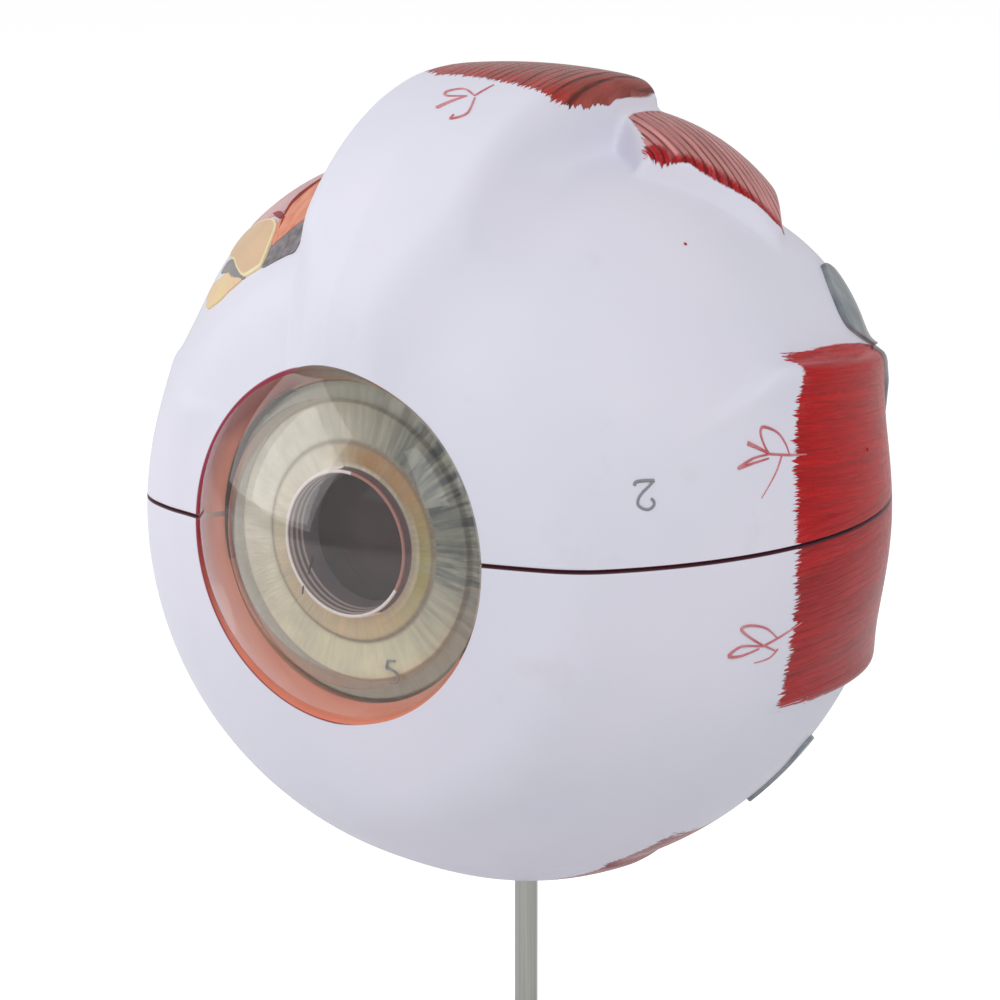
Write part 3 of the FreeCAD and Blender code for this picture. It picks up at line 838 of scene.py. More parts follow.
field("window_salmon", 0.3, salmon, [
    (-24.2, -19.4, 55.6), (-24.6, -22.9, 54.4), (-25.2, -25.8, 52.8), (-25.5, -27.7, 51.6),
    (-25.3, -29.6, 50.4), (-25.5, -31.4, 49.2), (-24.9, -33.4, 47.9), (-23.2, -35.9, 46.2),
    (-22.4, -35.5, 46.8), (-21.2, -34.5, 48.0), (-19.5, -32.9, 49.8), (-17.4, -31.0, 51.6),
    (-17.8, -27.6, 53.6), (-18.9, -23, 55.6), (-21.4, -19, 56.6)])
field("window_tan", 0.5, tan, [
    (-26.6, -39, 41.1), (-24.2, -39.3, 42.1), (-22.9, -39.1, 43.1), (-23.0, -37.8, 44.3),
    (-23.8, -35.3, 46.4), (-24.8, -32.7, 48.3), (-26.2, -31.0, 49.1), (-28.3, -29.6, 49.2),
    (-30.9, -28.5, 48.6), (-33.4, -27.7, 47.7), (-36, -27.7, 45.9), (-37, -29.7, 43.9),
    (-35.8, -31.8, 42.6), (-33.2, -33.5, 42.6), (-30.2, -36.4, 41.8)], rings=20)
field("window_yellow", 0.35, yellow, [
    (-26.9, -39.2, 40.7), (-30.2, -37.3, 40.4), (-33.2, -35.1, 40.6), (-35.3, -34.4, 39.4),
    (-37.6, -33.4, 38.3), (-38.3, -33.8, 36.5), (-36.6, -36.4, 35.1), (-34.4, -38.2, 34.9),
    (-31.3, -39.5, 36.8), (-29.4, -39.5, 38.6)])
# Painted shadow: a dark field in the gap between the tan and the yellow fields.
field("window_gap", 0.15, shade, [
    (-26.2, -39.1, 41.3), (-27.7, -38.1, 41.6), (-31.4, -35.5, 42.1), (-33.2, -33.5, 42.9),
    (-36.5, -31.5, 42.1), (-37.5, -32.5, 40.4), (-35.5, -33.8, 40.5), (-33.2, -34.9, 40.7),
    (-30.1, -37.2, 40.5), (-26.8, -39.2, 40.7)])
field("window_vessel_mouth", 0.55, crimson, [
    (-28.7, -28.6, 49.8), (-27.4, -28.7, 50.2), (-26.0, -29.5, 50.3), (-25.0, -30.5, 50.0),
    (-25.4, -30.9, 49.6), (-27.0, -29.8, 49.6)], rings=8)


def new_group(name, **inputs):
    """An empty tree that works on geometry, and the inputs it is given."""
    group = Nodes(bpy.data.node_groups.new(name, "GeometryNodeTree"))
    for title, kind in inputs.items():
        group.tree.interface.new_socket(title, in_out="INPUT", socket_type="NodeSocket" + kind)
    group.tree.interface.new_socket("Geometry", in_out="OUTPUT",
                                    socket_type="NodeSocketGeometry")
    return group, group.add("NodeGroupInput").outputs


def give(group, geometry, material):
    """Ends such a tree: the geometry, real and with its material."""
    real = group("GeometryNodeRealizeInstances", i0=geometry)
    group.add("NodeGroupOutput", i0=group("GeometryNodeSetMaterial", Geometry=real,
                                          Material=material))


cord_tree, given = new_group("painted_cords", Geometry="Geometry", Sides="Int",
                             Finish="Material")
sweep = cord_tree(
    "GeometryNodeCurveToMesh", Fill_Caps=True,
    Curve=cord_tree("GeometryNodeMeshToCurve", Mesh=given["Geometry"]),
    Profile_Curve=cord_tree("GeometryNodeCurvePrimitiveCircle", Resolution=given["Sides"]),
    Scale=cord_tree("GeometryNodeInputNamedAttribute", out="Attribute", Name="girth"))
give(cord_tree, cord_tree("GeometryNodeSetShadeSmooth", i0=sweep), given["Finish"])


def grown(host, group, **inputs):
    """Runs a node tree on an object, and keeps the result as its plain mesh."""
    made = host.modifiers.new("made", "NODES")
    made.node_group = group.tree
    for item in group.tree.interface.items_tree:
        if item.in_out == "INPUT" and item.name in inputs:
            made[item.identifier] = inputs[item.name]
    graph = bpy.context.evaluated_depsgraph_get()
    mesh = bpy.data.meshes.new_from_object(host.evaluated_get(graph))
    host.modifiers.remove(made)
    host.data = mesh


def cords(name, material, lines, body="upper_shell", sides=8):
    """Rounded strokes of paint along lines of (points, girths), in millimetres."""
    points, edges, girths = [], [], []
    for line, thick in lines:
        first = len(points)
        points += [eye_centre + mm * Vector(v) for v in line]
        edges += [(first + k, first + k + 1) for k in range(len(line) - 1)]
        girths += list(np.broadcast_to(thick, len(line)) * mm)
    mesh = bpy.data.meshes.new(name)
    mesh.from_pydata(points, edges, [])
    write(mesh, "girth", "FLOAT", girths)
    host = bpy.data.objects.new(name, mesh)
    bpy.context.collection.objects.link(host)
    grown(host, cord_tree, Sides=sides, Finish=material)
    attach(host, body)


def stroke(girths, *points, lift=-0.1):
    """A stroke on the shell with its girth at the start, middle and end."""
    line = smooth_line(points, 7)
    thick = np.interp(np.linspace(0, 1, len(line)), (0, 0.5, 1), girths)
    return on_shell(line, thick * lift), thick


cords("window_vessels", streaked(
    "vessel_paint", (0.36, 0.03, 0.02), (0.22, 0.012, 0.01), (300, 300, 300)), [
    stroke((0.22, 0.34, 0.2), (-25.1, -30.1, 50.2), (-25.7, -27.7, 51.6), (-25.3, -25.8, 52.8),
           (-24.6, -22.9, 54.4), (-23.6, -19.9, 55.7), lift=1.1),
    stroke((0.2, 0.14, 0.08), (-24.8, -30.7, 49.9), (-24.3, -32.2, 49), (-23.9, -33.5, 48),
           lift=1.9)])

# ------------------------------------------------------------------ painted marks
# Vortex veins, small nerve tendrils and a hand-written number are painted on the
# white shell in thick enamel.
grey = streaked("vein_grey", (0.10, 0.13, 0.16), (0.36, 0.39, 0.40), (70, 110, 90))
field("upper_outer_vein", 0.8, grey, [
    (42.9, 23, 40.5), (44.6, 20.6, 39.6), (47.0, 18.6, 37.2), (49.9, 18.0, 34.0),
    (51.0, 20.0, 31.6), (49.6, 27.0, 28.2), (48, 32, 26.8), (46.4, 33.5, 29.2),
    (43.6, 32.6, 33.4), (41.8, 29.6, 37.6)], rings=16)
field("lower_outer_vein", 0.7, grey, [
    (42.6, 5.6, -46.4), (45, 7.4, -44.6), (47.6, 9.2, -41.6), (50.6, 8.2, -36.6),
    (51.4, 10.6, -35.0), (49.4, 14.6, -36.6), (46.2, 14.6, -41.0), (42.6, 10.4, -46.0)],
      "lower_globe", rings=12)
field("upper_inner_vein", 0.8, grey, [
    (-42, 30, 34), (-38, 26.5, 41), (-36.5, 22, 45.5), (-38.6, 20, 45), (-42.6, 21.5, 40.6),
    (-46, 24.6, 34.6), (-46.4, 28.6, 31.4)], rings=12)
field("lower_inner_vein", 0.8, grey, [
    (-38, 28, -41), (-35, 22, -46.5), (-36.6, 17.6, -47.4), (-41.6, 18.4, -43),
    (-45.6, 23.4, -36.6), (-43.6, 28.6, -35.6)], "lower_globe", rings=12)
cords("rear_outer_vein", grey, [
    stroke((0.4, 0.8, 0.3), (50.4, 26, 27.2), (50.8, 31.4, 23.4), (51.2, 33.6, 19.6),
           (50.6, 36.4, 16))], sides=12)

tendril_pink = streaked("tendril_pink", (0.66, 0.25, 0.27), (0.55, 0.11, 0.13), (300, 300, 300))
cords("outer_tendrils", tendril_pink, [
    stroke((0.12, 0.22, 0.22), (59.6, -8.1, 17.2), (58.9, -12, 17.7), (57.7, -16, 18.4)),
    stroke((0.14, 0.26, 0.16), (58.9, -12, 17.7), (58.2, -12.4, 19.5), (57.3, -13.6, 21.3),
           (56.2, -16.1, 22.4), (56.3, -16.9, 21.5), (57.1, -16.6, 19.5), (57.7, -16, 18.4)),
    stroke((0.2, 0.32, 0.4), (57.7, -16, 18.4), (56.8, -18, 19.6), (55.8, -19.7, 20.5)),
    stroke((0.16, 0.3, 0.16), (57.7, -16, 18.4), (56.7, -19.2, 18.2), (56, -21.9, 17.3),
           (56, -22.1, 17.1), (56.9, -19.5, 17.5), (57.7, -16.4, 17.8)),
    stroke((0.2, 0.16, 0.1), (58.4, -13.7, 17.8), (58.6, -15.7, 15.5), (58.3, -19.3, 12.2))])
cords("lower_tendrils", tendril_pink, [
    stroke((0.12, 0.22, 0.22), (61, -10.9, -8.9), (59.6, -15.9, -10.5), (58.6, -18.8, -11.3)),
    stroke((0.14, 0.28, 0.16), (59.6, -15.9, -10.5), (59.2, -18.6, -8.4), (58.3, -21.6, -7.4),
           (57.6, -23.4, -7.5), (57.7, -22.7, -8.5), (58.5, -19.7, -10.6), (59.2, -16, -12.5)),
    stroke((0.16, 0.32, 0.16), (58.6, -18.8, -11.3), (57.4, -22.7, -10.6), (56.4, -24.6, -11.4),
           (56.3, -24.6, -12), (57.1, -22.6, -12.2), (58.4, -19.4, -11.6)),
    stroke((0.2, 0.16, 0.1), (59.4, -15.4, -12.4), (58.7, -16.9, -13.6), (57.7, -19.8, -13.9))],
      "lower_globe")
cords("top_tendrils", tendril_pink, [
    stroke((0.14, 0.24, 0.2), (4.4, -13.5, 71.3), (3.8, -17.9, 69.9)),
    stroke((0.16, 0.3, 0.16), (3.8, -17.9, 69.9), (0.4, -16.1, 70.7), (-2, -17.4, 70.2),
           (-1, -18.7, 69.7), (2.5, -18.2, 69.8)),
    stroke((0.2, 0.34, 0.42), (2.5, -18.2, 69.8), (0.8, -20.4, 69), (-0.4, -22.3, 68.1)),
    stroke((0.16, 0.3, 0.2), (4.2, -18.4, 69.6), (5.8, -22.7, 67.5), (4, -24.5, 66.8),
           (3.7, -23.5, 67.3))])
cords("inner_tendrils", tendril_pink, [
    stroke((0.12, 0.24, 0.2), (-58, -10.5, 12), (-58.4, -15, 10.6), (-57.4, -19.6, 9.6)),
    stroke((0.14, 0.28, 0.16), (-58.6, -14, 11), (-57.0, -17.6, 14.4), (-55.4, -21.6, 15.2),
           (-56, -21.4, 13.4), (-57.6, -17.6, 11.4)),
    stroke((0.16, 0.32, 0.16), (-57.4, -19.6, 9.6), (-56.2, -23.2, 11), (-55.8, -24.4, 9.4),
           (-57, -21, 8.4))])
pencil = gloss("marker_grey", (0.22, 0.22, 0.25), (0.32, 0.32, 0.35), 900, 0.6)
cords("number_two", pencil, [
    (on_shell(smooth_line([(46.9, -37.7, 16.1), (47.1, -37.4, 16.6), (47.9, -36.3, 16.7),
                           (48.7, -35.1, 16.6)], 6)), 0.28),
    (on_shell(smooth_line([(48.7, -35.1, 16.6), (48.4, -35.9, 15.9), (47.8, -37, 14.9),
                           (47.5, -37.6, 14.0), (47.7, -37.8, 13.2), (48.3, -37.2, 12.6),
                           (48.8, -36.6, 12.5), (49.2, -36.0, 12.9), (49.2, -35.8, 13.5),
                           (48.9, -36.1, 14.1)], 6)), 0.23)])
dot_red = gloss("dot_red", (0.50, 0.02, 0.02), (0.40, 0.015, 0.015), 900, 0.3)
for number, (x, y, z) in enumerate(((38.2, -10, 48.2), (61.6, 12, 15.0))):
    field("red_dot_%d" % number, 0.16, dot_red, [
        (x + 0.22 * math.cos(a), y + 0.27 * math.sin(a), z - 0.17 * math.cos(a))
        for a in np.linspace(0, 2 * math.pi, 9)[:-1]], rings=4, per=3)

# ------------------------------------------------------------------ lining
# Two thin half shells behind the white one. Outside they are the red-brown choroid
# with its veins, inside the orange retina with its vessels, the disc and the spot.
choroid_r = 57.1
retina_r = 54.0
disc_way = np.array((-15.0, 51.4, -6.6)) / retina_r
spot = eye_centre + mm * Vector((5.5, 53.6, -3.4))
tree = Nodes("lining_paint")
place = tree.place()
depth = tree.vector("LENGTH", tree.vector("SUBTRACT", place, tuple(eye_centre)))
clouds = tree.noise(place, 60.0, 5.0)
speckle = tree.noise(place, 420.0, 3.0)
choroid_tone = tree.mix(tree.between(clouds, 0.35, 0.65), (0.30, 0.06, 0.035),
                        (0.42, 0.11, 0.06))
retina_tone = tree.mix(tree.between(clouds, 0.35, 0.65), (0.66, 0.24, 0.10),
                       (0.72, 0.33, 0.15))
retina_tone = tree.mix(tree.between(tree.vector("DISTANCE", place, spot), 0.008, 0.002),
                       retina_tone, (0.42, 0.10, 0.04))
layers = tree.add("ValToRGB", Fac=tree.between(depth, retina_r * mm + 0.0005,
                                               choroid_r * mm - 0.0004))
ramp = layers.color_ramp
ramp.interpolation = "CONSTANT"
ramp.elements[0].color = (0.74, 0.50, 0.30, 1)
ramp.elements[1].position = 0.30
ramp.elements[1].color = (0.20, 0.035, 0.02, 1)
ramp.elements.new(0.42).color = (0.46, 0.12, 0.07, 1)
tone = tree.mix(tree.between(depth, retina_r * mm + 0.0004, retina_r * mm + 0.0003),
                layers.outputs["Color"], retina_tone)
tone = tree.mix(tree.between(depth, choroid_r * mm - 0.0004, choroid_r * mm - 0.0003),
                tone, choroid_tone)
tone = tree.mix(0.5, tone, tree.mix(speckle, (0.7, 0.7, 0.7), (1.3, 1.25, 1.2)), "MULTIPLY")
lining_paint = tree.paint(
    Base_Color=tone, Roughness=tree.between(clouds, 0.3, 0.7, 0.34, 0.46),
    Normal=tree.relief(speckle, 0.3, 0.0003), Coat_Weight=0.15, Coat_Roughness=0.2)
dress("lower_choroid", lining_paint)
dress("upper_choroid", lining_paint)


def turned_from(way, bearing, angle):
    """The direction at an angle from another, on a bearing from straight up."""
    up = np.array((0, 0, 1.0)) - way * way[2]
    up = up / np.linalg.norm(up)
    right = np.cross(up, way)
    return way * math.cos(angle) + math.sin(angle) * (
        up * math.cos(bearing) + right * math.sin(bearing))


def branches(random, start, bearing, reach, turn, thick, forks, steps=46):
    """A vessel that winds away from a point on a sphere, and forks."""
    swing = random.uniform(0, 6)
    along = np.linspace(0, 1, steps)
    bearings = [bearing + turn * t + 0.10 * math.sin(9 * t + swing) * t for t in along]
    ways = [turned_from(disc_way, b, start + reach * t) for b, t in zip(bearings, along)]
    lines = [(np.array(ways), thick * np.linspace(1, 0.35, steps))]
    for k in range(forks):
        at = int(steps * (0.22 + 0.6 * (k + random.uniform(0, 0.6)) / forks))
        hand = 1 if k % 2 else -1
        lines += branches(random, start + reach * at / steps, bearings[at] + 0.02 * hand,
                          reach * (1 - at / steps) * random.uniform(0.6, 0.9),
                          hand * random.uniform(0.35, 0.7), thick * (0.72 - 0.2 * at / steps),
                          forks // 2)
    return lines


def by_half(lines, radius, keep):
    """Cuts vessels at the seam and where they may not run: upper runs, lower runs."""
    halves = {1: [], -1: []}
    for ways, thick in lines:
        points = ways * radius
        side = np.sign(points[:, 2] - seam_rise)
        side[(np.abs(points[:, 2] - seam_rise) < 0.9) | ~keep(points)] = 0
        start = 0
        for k in range(1, len(side) + 1):
            if k == len(side) or side[k] != side[start]:
                if side[start] and k - start > 2:
                    halves[int(side[start])].append((points[start:k], thick[start:k]))
                start = k
    return halves


def vessels(title, lines, finish, radius, keep):
    """Vessels on both halves of the lining."""
    parts = by_half(lines, radius, keep)
    for half, body in ((1, "upper_lining"), (-1, "lower_globe")):
        cords(("upper_" if half > 0 else "lower_") + title, finish, parts[half], body, 6)


def near_boss(p, reach):
    """Points where the boss for the rod comes through the lining."""
    return (p[:, 2] < 0) & (np.hypot(p[:, 0], p[:, 1] - rod_y) < reach)


random = np.random.default_rng(11)
arteries, veins = [], []
for bearing, turn in ((0.35, 0.75), (-0.5, -0.35), (2.75, -0.75), (3.7, 0.35)):
    arteries += branches(random, 0.04, bearing, 1.45, turn, 0.26, 4)
    veins += branches(random, 0.04, bearing + 0.16, 1.38, turn * 0.9, 0.3, 4)
artery_red = gloss("artery_red", (0.48, 0.02, 0.015), (0.36, 0.012, 0.01), 300, 0.35)
vein_blue = gloss("vein_blue", (0.05, 0.06, 0.16), (0.09, 0.05, 0.12), 300, 0.35)
for title, lines, finish in (("retina_arteries", arteries, artery_red),
                             ("retina_veins", veins, vein_blue)):
    vessels(title, lines, finish, retina_r + 0.06,
            lambda p: (p[:, 1] > -30) & ~near_boss(p, 9.6))

# Veins of the choroid: four whorls behind the middle, drawn from the whole shell
whorls = []
for corner in ((40, 24, 34), (-42, 22, 32), (38, 22, -36), (-40, 22, -34)):
    centre = np.array(corner) / np.linalg.norm(corner)
    for k in range(15):
        bearing = 2 * math.pi * k / 15 + random.uniform(-0.12, 0.12)
        reach = random.uniform(0.55, 0.8)
        t = np.linspace(0.05, 1, 26)
        ways = np.array([turned_from(centre, bearing + 1.1 * s, reach * s) for s in t])
        whorls.append((ways, np.interp(t, (0, 0.3, 1), (0.34, 0.3, 0.14))))


def on_choroid(p):
    """Points behind the iris that are clear of the nerve and the boss."""
    near_nerve = (p[:, 1] > 0) & (np.hypot(p[:, 0] - nerve_at[0], p[:, 2] - nerve_at[1]) < 10.5)
    return (p[:, 1] > -42) & ~near_nerve & ~near_boss(p, 9.8)


def on_lining(points, lift=0.0):
    """Puts points on the inside of the lining, raised toward the middle."""
    ways = points / np.linalg.norm(points, axis=-1, keepdims=True)
    return ways * (retina_r - np.asarray(lift))[..., None]


vessels("choroid_veins", whorls, vein_blue, choroid_r + 0.02, on_choroid)
field("optic_disc", 0.18,
      streaked("disc_yellow", (0.78, 0.60, 0.30), (0.74, 0.50, 0.24), (300, 300, 300),
               edge=(0.66, 0.30, 0.14), edge_at=0.93),
      [turned_from(disc_way, a, 0.055) * retina_r for a in np.linspace(0, 2 * math.pi, 13)[:-1]],
      "lower_globe", 6, 4, on_lining)

# ------------------------------------------------------------------ nerve
# The optic nerve: an ivory sheath with a turned collar, and a yellow core whose cut
# end shows its bundles and the artery and vein in its middle.
dress("optic_nerve_sheath", gloss(
    "sheath_ivory", (0.70, 0.63, 0.54), (0.60, 0.50, 0.41), 90, 0.42, 0.3, 700))
tree = Nodes("nerve_core")
place = tree.place()
cells = tree.add("TexVoronoi", Scale=720.0)
cells.feature = "DISTANCE_TO_EDGE"
tree.tree.links.new(tree.vector("MULTIPLY", place, (1, 0.04, 1)), cells.inputs["Vector"])
walls = tree.between(cells.outputs["Distance"], 0.03, 0.12)
bundles = tree.mix(tree.noise(place, 240.0, 3.0), (0.72, 0.50, 0.16), (0.62, 0.36, 0.10))
dress("optic_nerve_core", tree.paint(
    Base_Color=tree.mix(walls, (0.30, 0.12, 0.05), bundles), Roughness=0.45,
    Normal=tree.relief(walls, 0.6, 0.0003)))
core_end = (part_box("optic_nerve_core")[1].y - eye_centre.y) / mm
for title, shift, finish in (("artery", -1.3, artery_red), ("vein", 1.3, vein_blue)):
    end = turned("central_" + title, [
        (r, core_end + out) for r, out in ((0, -2), (0.9, -2), (0.9, 0.15), (0.75, 0.3),
                                           (0.4, 0.38), (0, 0.4))],
                 24, centre=(nerve_at[0] + shift, 0, nerve_at[1] + 0.3))
    end.data.materials.append(finish)
    end.data.shade_smooth()
    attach(end, "lower_globe")

# ------------------------------------------------------------------ iris
# A moulded disc in three terraces with fine folds that run to the pupil, and a
# raised lip round it. Painted by hand: cream and olive, blue-grey on the outer side.
iris_r = 25.5
iris_rim_y = -45.0
terrace_r = 22.4
terrace_y = iris_rim_y - 0.7
collarette_r = 16.0
collarette_y = -46.2
pupil_r = 11.2
iris_back = -41.2
lip_y = -47.9
lip_outer_r = 11.78
wall_y = -47.6
profile = [(10.4, iris_back), (iris_r, iris_back), (iris_r, iris_rim_y + 0.25),
           (iris_r - 0.25, iris_rim_y)]
profile += [(r, iris_rim_y) for r in np.linspace(25, terrace_r + 0.15, 8)]
profile += [(terrace_r, iris_rim_y - 0.12), (terrace_r - 0.3, iris_rim_y - 0.58),
            (terrace_r - 0.45, terrace_y)]
profile += [(r, terrace_y) for r in np.linspace(21.8, collarette_r + 0.2, 22)]
profile += [(collarette_r, -45.78), (collarette_r - 0.3, -46.12),
            (collarette_r - 0.45, collarette_y)]
profile += [(r, collarette_y) for r in np.linspace(15.4, 12.1, 14)]
profile += [(11.9, -46.3), (11.82, -46.6), (11.8, wall_y), (11.74, -47.8), (11.6, lip_y),
            (11.4, lip_y), (11.26, -47.82), (pupil_r, wall_y)]
profile += [(pupil_r - 0.8 * t, wall_y + 6.4 * t) for t in np.linspace(0.1, 0.95, 16)]
iris = turned("iris_disc", profile, 540)
p = places(iris.data.vertices)
out = np.hypot(p[:, 0], p[:, 2] - axis_rise)
front = p[:, 1] < iris_rim_y + 0.1
write(iris.data, "fold", "FLOAT", front * np.clip((out - 12.4) / 1.2, 0, 1) * np.clip(
    (25.2 - out) / 2.5, 0.0, 1) * (1 - np.exp(-((out - terrace_r) / 0.5) ** 2)))


def spokes(tree, place, middle, drawn):
    """Coordinates for noise that runs in spokes from the middle of the iris."""
    arm = tree.vector("MULTIPLY", tree.vector("SUBTRACT", place, middle), (1, 0, 1))
    rise = tree("CombineXYZ", Y=tree.calc("MULTIPLY", tree.vector("LENGTH", arm), drawn))
    return tree.vector("ADD", tree.vector("NORMALIZE", arm), rise)


fold_tree, given = new_group("iris_folds", Geometry="Geometry", Middle="Vector", Folds="Float",
                             Depth="Float", Finish="Material")
noise = fold_tree("TexNoise", Scale=given["Folds"], Detail=3.0, Vector=spokes(
    fold_tree, fold_tree("GeometryNodeInputPosition"), given["Middle"], 9.0))
amount = fold_tree.calc(
    "MULTIPLY", fold_tree("GeometryNodeInputNamedAttribute", out="Attribute", Name="fold"),
    fold_tree.calc("MULTIPLY", fold_tree.calc("SUBTRACT", noise, 0.5), given["Depth"]))
give(fold_tree, fold_tree("GeometryNodeSetPosition", Geometry=given["Geometry"],
                          Offset=fold_tree("CombineXYZ", Y=amount)), given["Finish"])

iris_middle = tuple(eye_centre + Vector((0, 0, axis_rise * mm)))
tree = Nodes("iris_colours")
place = tree.place()
run = spokes(tree, place, iris_middle, 6.0)
streaks = tree.noise(run, 15.0, 5.0, Roughness=0.65)
hairs = tree.noise(run, 60.0, 3.0, Roughness=0.7)
light = tree.mix(tree.between(tree.noise(place, 170.0, 4.0), 0.35, 0.65),
                 tree.read("tone", "Color"), tree.read("tone_2", "Color"))
tone = tree.mix(tree.calc("MULTIPLY", tree.between(streaks, 0.42, 0.6), tree.read("streaky")),
                light, tree.read("dark", "Color"))
tone = tree.mix(0.35, tone, tree.mix(tree.between(hairs, 0.3, 0.7), (0.72, 0.72, 0.72),
                                     (1.2, 1.2, 1.18)), "MULTIPLY")
iris_paint = tree.paint(Base_Color=tone, Roughness=0.5, Coat_Weight=0.1, Coat_Roughness=0.3,
                        Normal=tree.relief(hairs, 0.5, 0.0003))
grown(iris, fold_tree, Middle=iris_middle, Folds=34.0, Depth=0.00035, Finish=iris_paint)
iris.data.shade_smooth()
iris.data.set_sharp_from_angle(angle=math.radians(50))

x, y, z = places(iris.data.vertices).T
out = np.hypot(x, z - axis_rise)
clock = np.arctan2(z - axis_rise, x)


def toward(degrees, width):
    """1 on a bearing across the disc, 0 beyond a width on each side of it."""
    off = np.abs((np.degrees(clock) - degrees + 180) % 360 - 180)
    return np.clip(1.4 - off / width, 0, 1) ** 1.5


def lay(base, share, colour):
    """A share of one colour over a colour for each point."""
    return base + (np.array(colour) - base) * np.clip(share, 0, 1)[:, None]


def band(inner, outer):
    """1 between two radii, with soft edges."""
    soft = 0.4
    return np.clip((out - inner) / soft + 0.5, 0, 1) * np.clip((outer - out) / soft + 0.5, 0, 1)


def ring(radius, width):
    """1 on a radius, with a soft fall to both sides."""
    return np.exp(-((out - radius) / width) ** 2)


tone = np.tile((0.78, 0.69, 0.52), (len(out), 1))
for share, colour in (
        (toward(-90, 80) * band(16, 22.3), (0.80, 0.73, 0.50)),
        (toward(150, 70) * band(12, 22.3), (0.82, 0.77, 0.64)),
        (toward(25, 66) * band(15.9, 25.3), (0.19, 0.19, 0.155)),
        (toward(-100, 100) * band(11.9, 15.8), (0.74, 0.51, 0.28)),
        (toward(15, 80) * band(13.4, 15.9), (0.36, 0.27, 0.015)),
        (toward(58, 42) * band(12.6, 15.9), (0.46, 0.17, 0.008)),
        (0.75 * band(22.5, 26), (0.46, 0.46, 0.40)),
        (toward(-70, 75) * band(22.5, 26), (0.36, 0.31, 0.25)),
        # Painted shadow: a dark brown arc on the upper nose side of the rim, where the gap between
        # the iris and the mouth wall lies in shade.
        (toward(146, 46) * band(24.6, 27), (0.045, 0.014, 0.010))):
    tone = lay(tone, share, colour)
tone_2 = lay(tone, np.full(len(out), 0.42), (0.42, 0.41, 0.31))
dark = lay(np.tile((0.42, 0.40, 0.30), (len(out), 1)), toward(22, 70) * band(16.2, 25.6),
           (0.04, 0.055, 0.058))
dark = lay(dark, toward(50, 60) * band(11.9, 16.0), (0.26, 0.20, 0.10))
# Painted shade: a dark line along the step of the collarette, and a fainter one along the step of
# the terrace.
line = 0.9 * ring(collarette_r - 0.1, 0.42) * (y < -45.6)
tone = lay(tone, line, (0.24, 0.165, 0.12))
tone_2 = lay(tone_2, line, (0.24, 0.165, 0.12))
tone = lay(tone, 0.4 * ring(terrace_r - 0.2, 0.35), (0.30, 0.28, 0.24))
on_lip = (out < 12.0) & (y < -46.3)
wall = (out < 11.24) & (y > -47.75)
grooves = wall & (np.abs((y + 47.4) % 1.1 - 0.3) < 0.2) & (y < -44.6)
# The lip round the pupil is pale. On its right side a copper band is a painted reflection, and on
# the lip's outer flank there a dark band is painted shadow. The pupil's wall is dark mauve with
# pale rings painted round it; its shape has no grooves.
for colours in (tone, tone_2, dark):
    colours[on_lip] = (0.90, 0.80, 0.78)
    colours[on_lip & (out > lip_outer_r) & (np.cos(clock - 0.3) > 0.2)] = (0.10, 0.035, 0.05)
    colours[on_lip & (out < lip_outer_r) & (np.cos(clock - 0.45) > 0.55)] = (0.42, 0.16, 0.12)
    colours[wall] = (0.13, 0.085, 0.10)
    colours[grooves] = (0.66, 0.52, 0.48)
for title, colours in (("tone", tone), ("tone_2", tone_2), ("dark", dark)):
    write(iris.data, title, "FLOAT_COLOR", colours)
write(iris.data, "streaky", "FLOAT", np.where(
    on_lip | wall | (tone[:, 0] < 0.1), 0, np.where(
        out < 16, 0.3, 0.14 + 0.8 * toward(22, 72))))
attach(iris, "front_unit")
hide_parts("iris")

five_y = -45.9
cords("number_five", pencil, [
    (smooth_line([(x, five_y, z) for x, z in line], 6), 0.18) for line in (
    [(8.2, -15.4), (7.5, -15.5), (6.8, -15.5)],
    [(6.8, -15.5), (6.5, -16.8), (7.3, -16.9), (8.4, -17.3), (8.9, -18.0), (8.4, -18.8),
     (7.2, -19.0)])], "front_unit")
cords("pupil_tick", gloss("ink_black", (0.02, 0.02, 0.02), (0.04, 0.04, 0.04), 900, 0.5), [
    (smooth_line([(-8.4, -47.9, -6.6), (-8.2, -47.9, -5.5), (-8.9, -46.0, -4.2),
                  (-9.7, -43.6, -1.8)], 6), np.linspace(0.12, 0.24, 19)),
    (smooth_line([(-9.2, -44.6, -3.9), (-9.5, -43.8, -2.6)], 6), 0.13)],
      "front_unit")
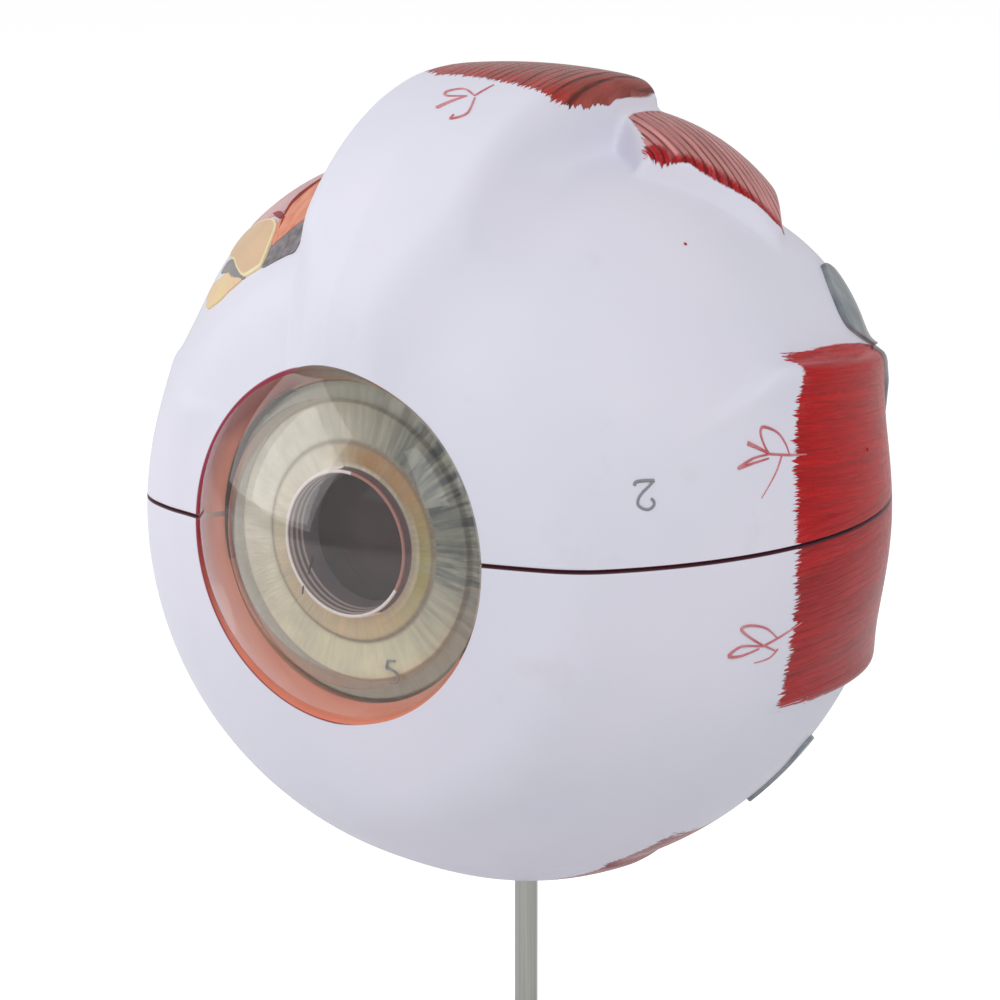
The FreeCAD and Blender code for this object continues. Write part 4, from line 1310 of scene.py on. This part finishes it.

# ------------------------------------------------------------------ clear parts
# Cornea, lens and vitreous body are cast in clear resin and polished. The cornea is
# a dome on a tapered skirt that is cemented to the rim of the iris. A dark brown band
# on the nose side of the skirt is painted shadow of the gap between iris and mouth wall.


def clear(name, tint, reflect, haze, haze_tint=(0.8, 0.8, 0.8)):
    """Clear resin: see-through, a polished face, and a little haze in it."""
    tree = Nodes(name)
    grazing = tree.calc("POWER", tree("LayerWeight", out="Facing", Blend=0.5), 5.0)
    see = tree("MixShader", i0=haze, i1=tree("BsdfTransparent", Color=(*tint, 1)),
               i2=tree("BsdfDiffuse", Color=(*haze_tint, 1)))
    shine = tree("BsdfGlossy", Color=(1, 1, 1, 1), Roughness=tree.between(
        tree.noise(tree.place(), 90.0, 3.0), 0.3, 0.7, 0.015, 0.05))
    share = tree.calc("MULTIPLY_ADD", grazing, 0.9 - reflect, reflect)
    return tree.end(tree("MixShader", i0=share, i1=see, i2=shine))


dress("lens", clear("lens_clear", (0.84, 0.74, 0.76), 0.008, 0.16,
                                   (0.22, 0.05, 0.06)))
dress("vitreous_body", clear("vitreous_clear", (0.93, 0.91, 0.92), 0.008, 0.03,
                                            (0.5, 0.36, 0.4)))
apex = -61.5
skirt_top = 27.6
inner_r = 23.04
wall = 1.8


def dome(radius, foot_y, top_y, steps):
    """Steps of a dome's outline from its foot in to its top."""
    rise = foot_y - top_y
    bend = (radius ** 2 + rise ** 2) / (2 * rise)
    start = math.asin(radius / bend)
    return [(bend * math.sin(a), top_y + bend * (1 - math.cos(a)))
            for a in np.linspace(start, 0, steps)[:-1]] + [(0, top_y)]


outer = dome(skirt_top, limbus_y, apex, 64)
inner = dome(inner_r, limbus_y + wall, apex + wall, 56)
cornea = turned("cornea_dome", [(inner_r, iris_rim_y), (25.24, iris_rim_y), (25.68, -46.0),
                                (26.4, -47.6)] + outer + inner[::-1], 256)
cornea.data.shade_smooth()
cornea.data.set_sharp_from_angle(angle=math.radians(40))
cornea.data.materials.append(clear("cornea_clear", (0.975, 0.975, 0.97), 0.042, 0.008))
# Painted shadow: a dark brown band on the skirt's outer face, on the nose side, where the gap
# between the iris and the mouth wall lies in shade.
cornea.data.materials.append(gloss("tinted_cement", (0.025, 0.006, 0.004), (0.045, 0.012, 0.008),
                                   600, 0.4))
x, y, z = places(cornea.data.polygons, "center").T
bearing = np.degrees(np.arctan2(z - axis_rise, x)) % 360
gap_shadow_faces = (np.hypot(x, z - axis_rise) > 25.3) & (y > -45.8) & (bearing > 117) & (bearing < 194)
cornea.data.polygons.foreach_set("material_index", gap_shadow_faces.astype(np.int32))
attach(cornea, "front_unit")
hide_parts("cornea")
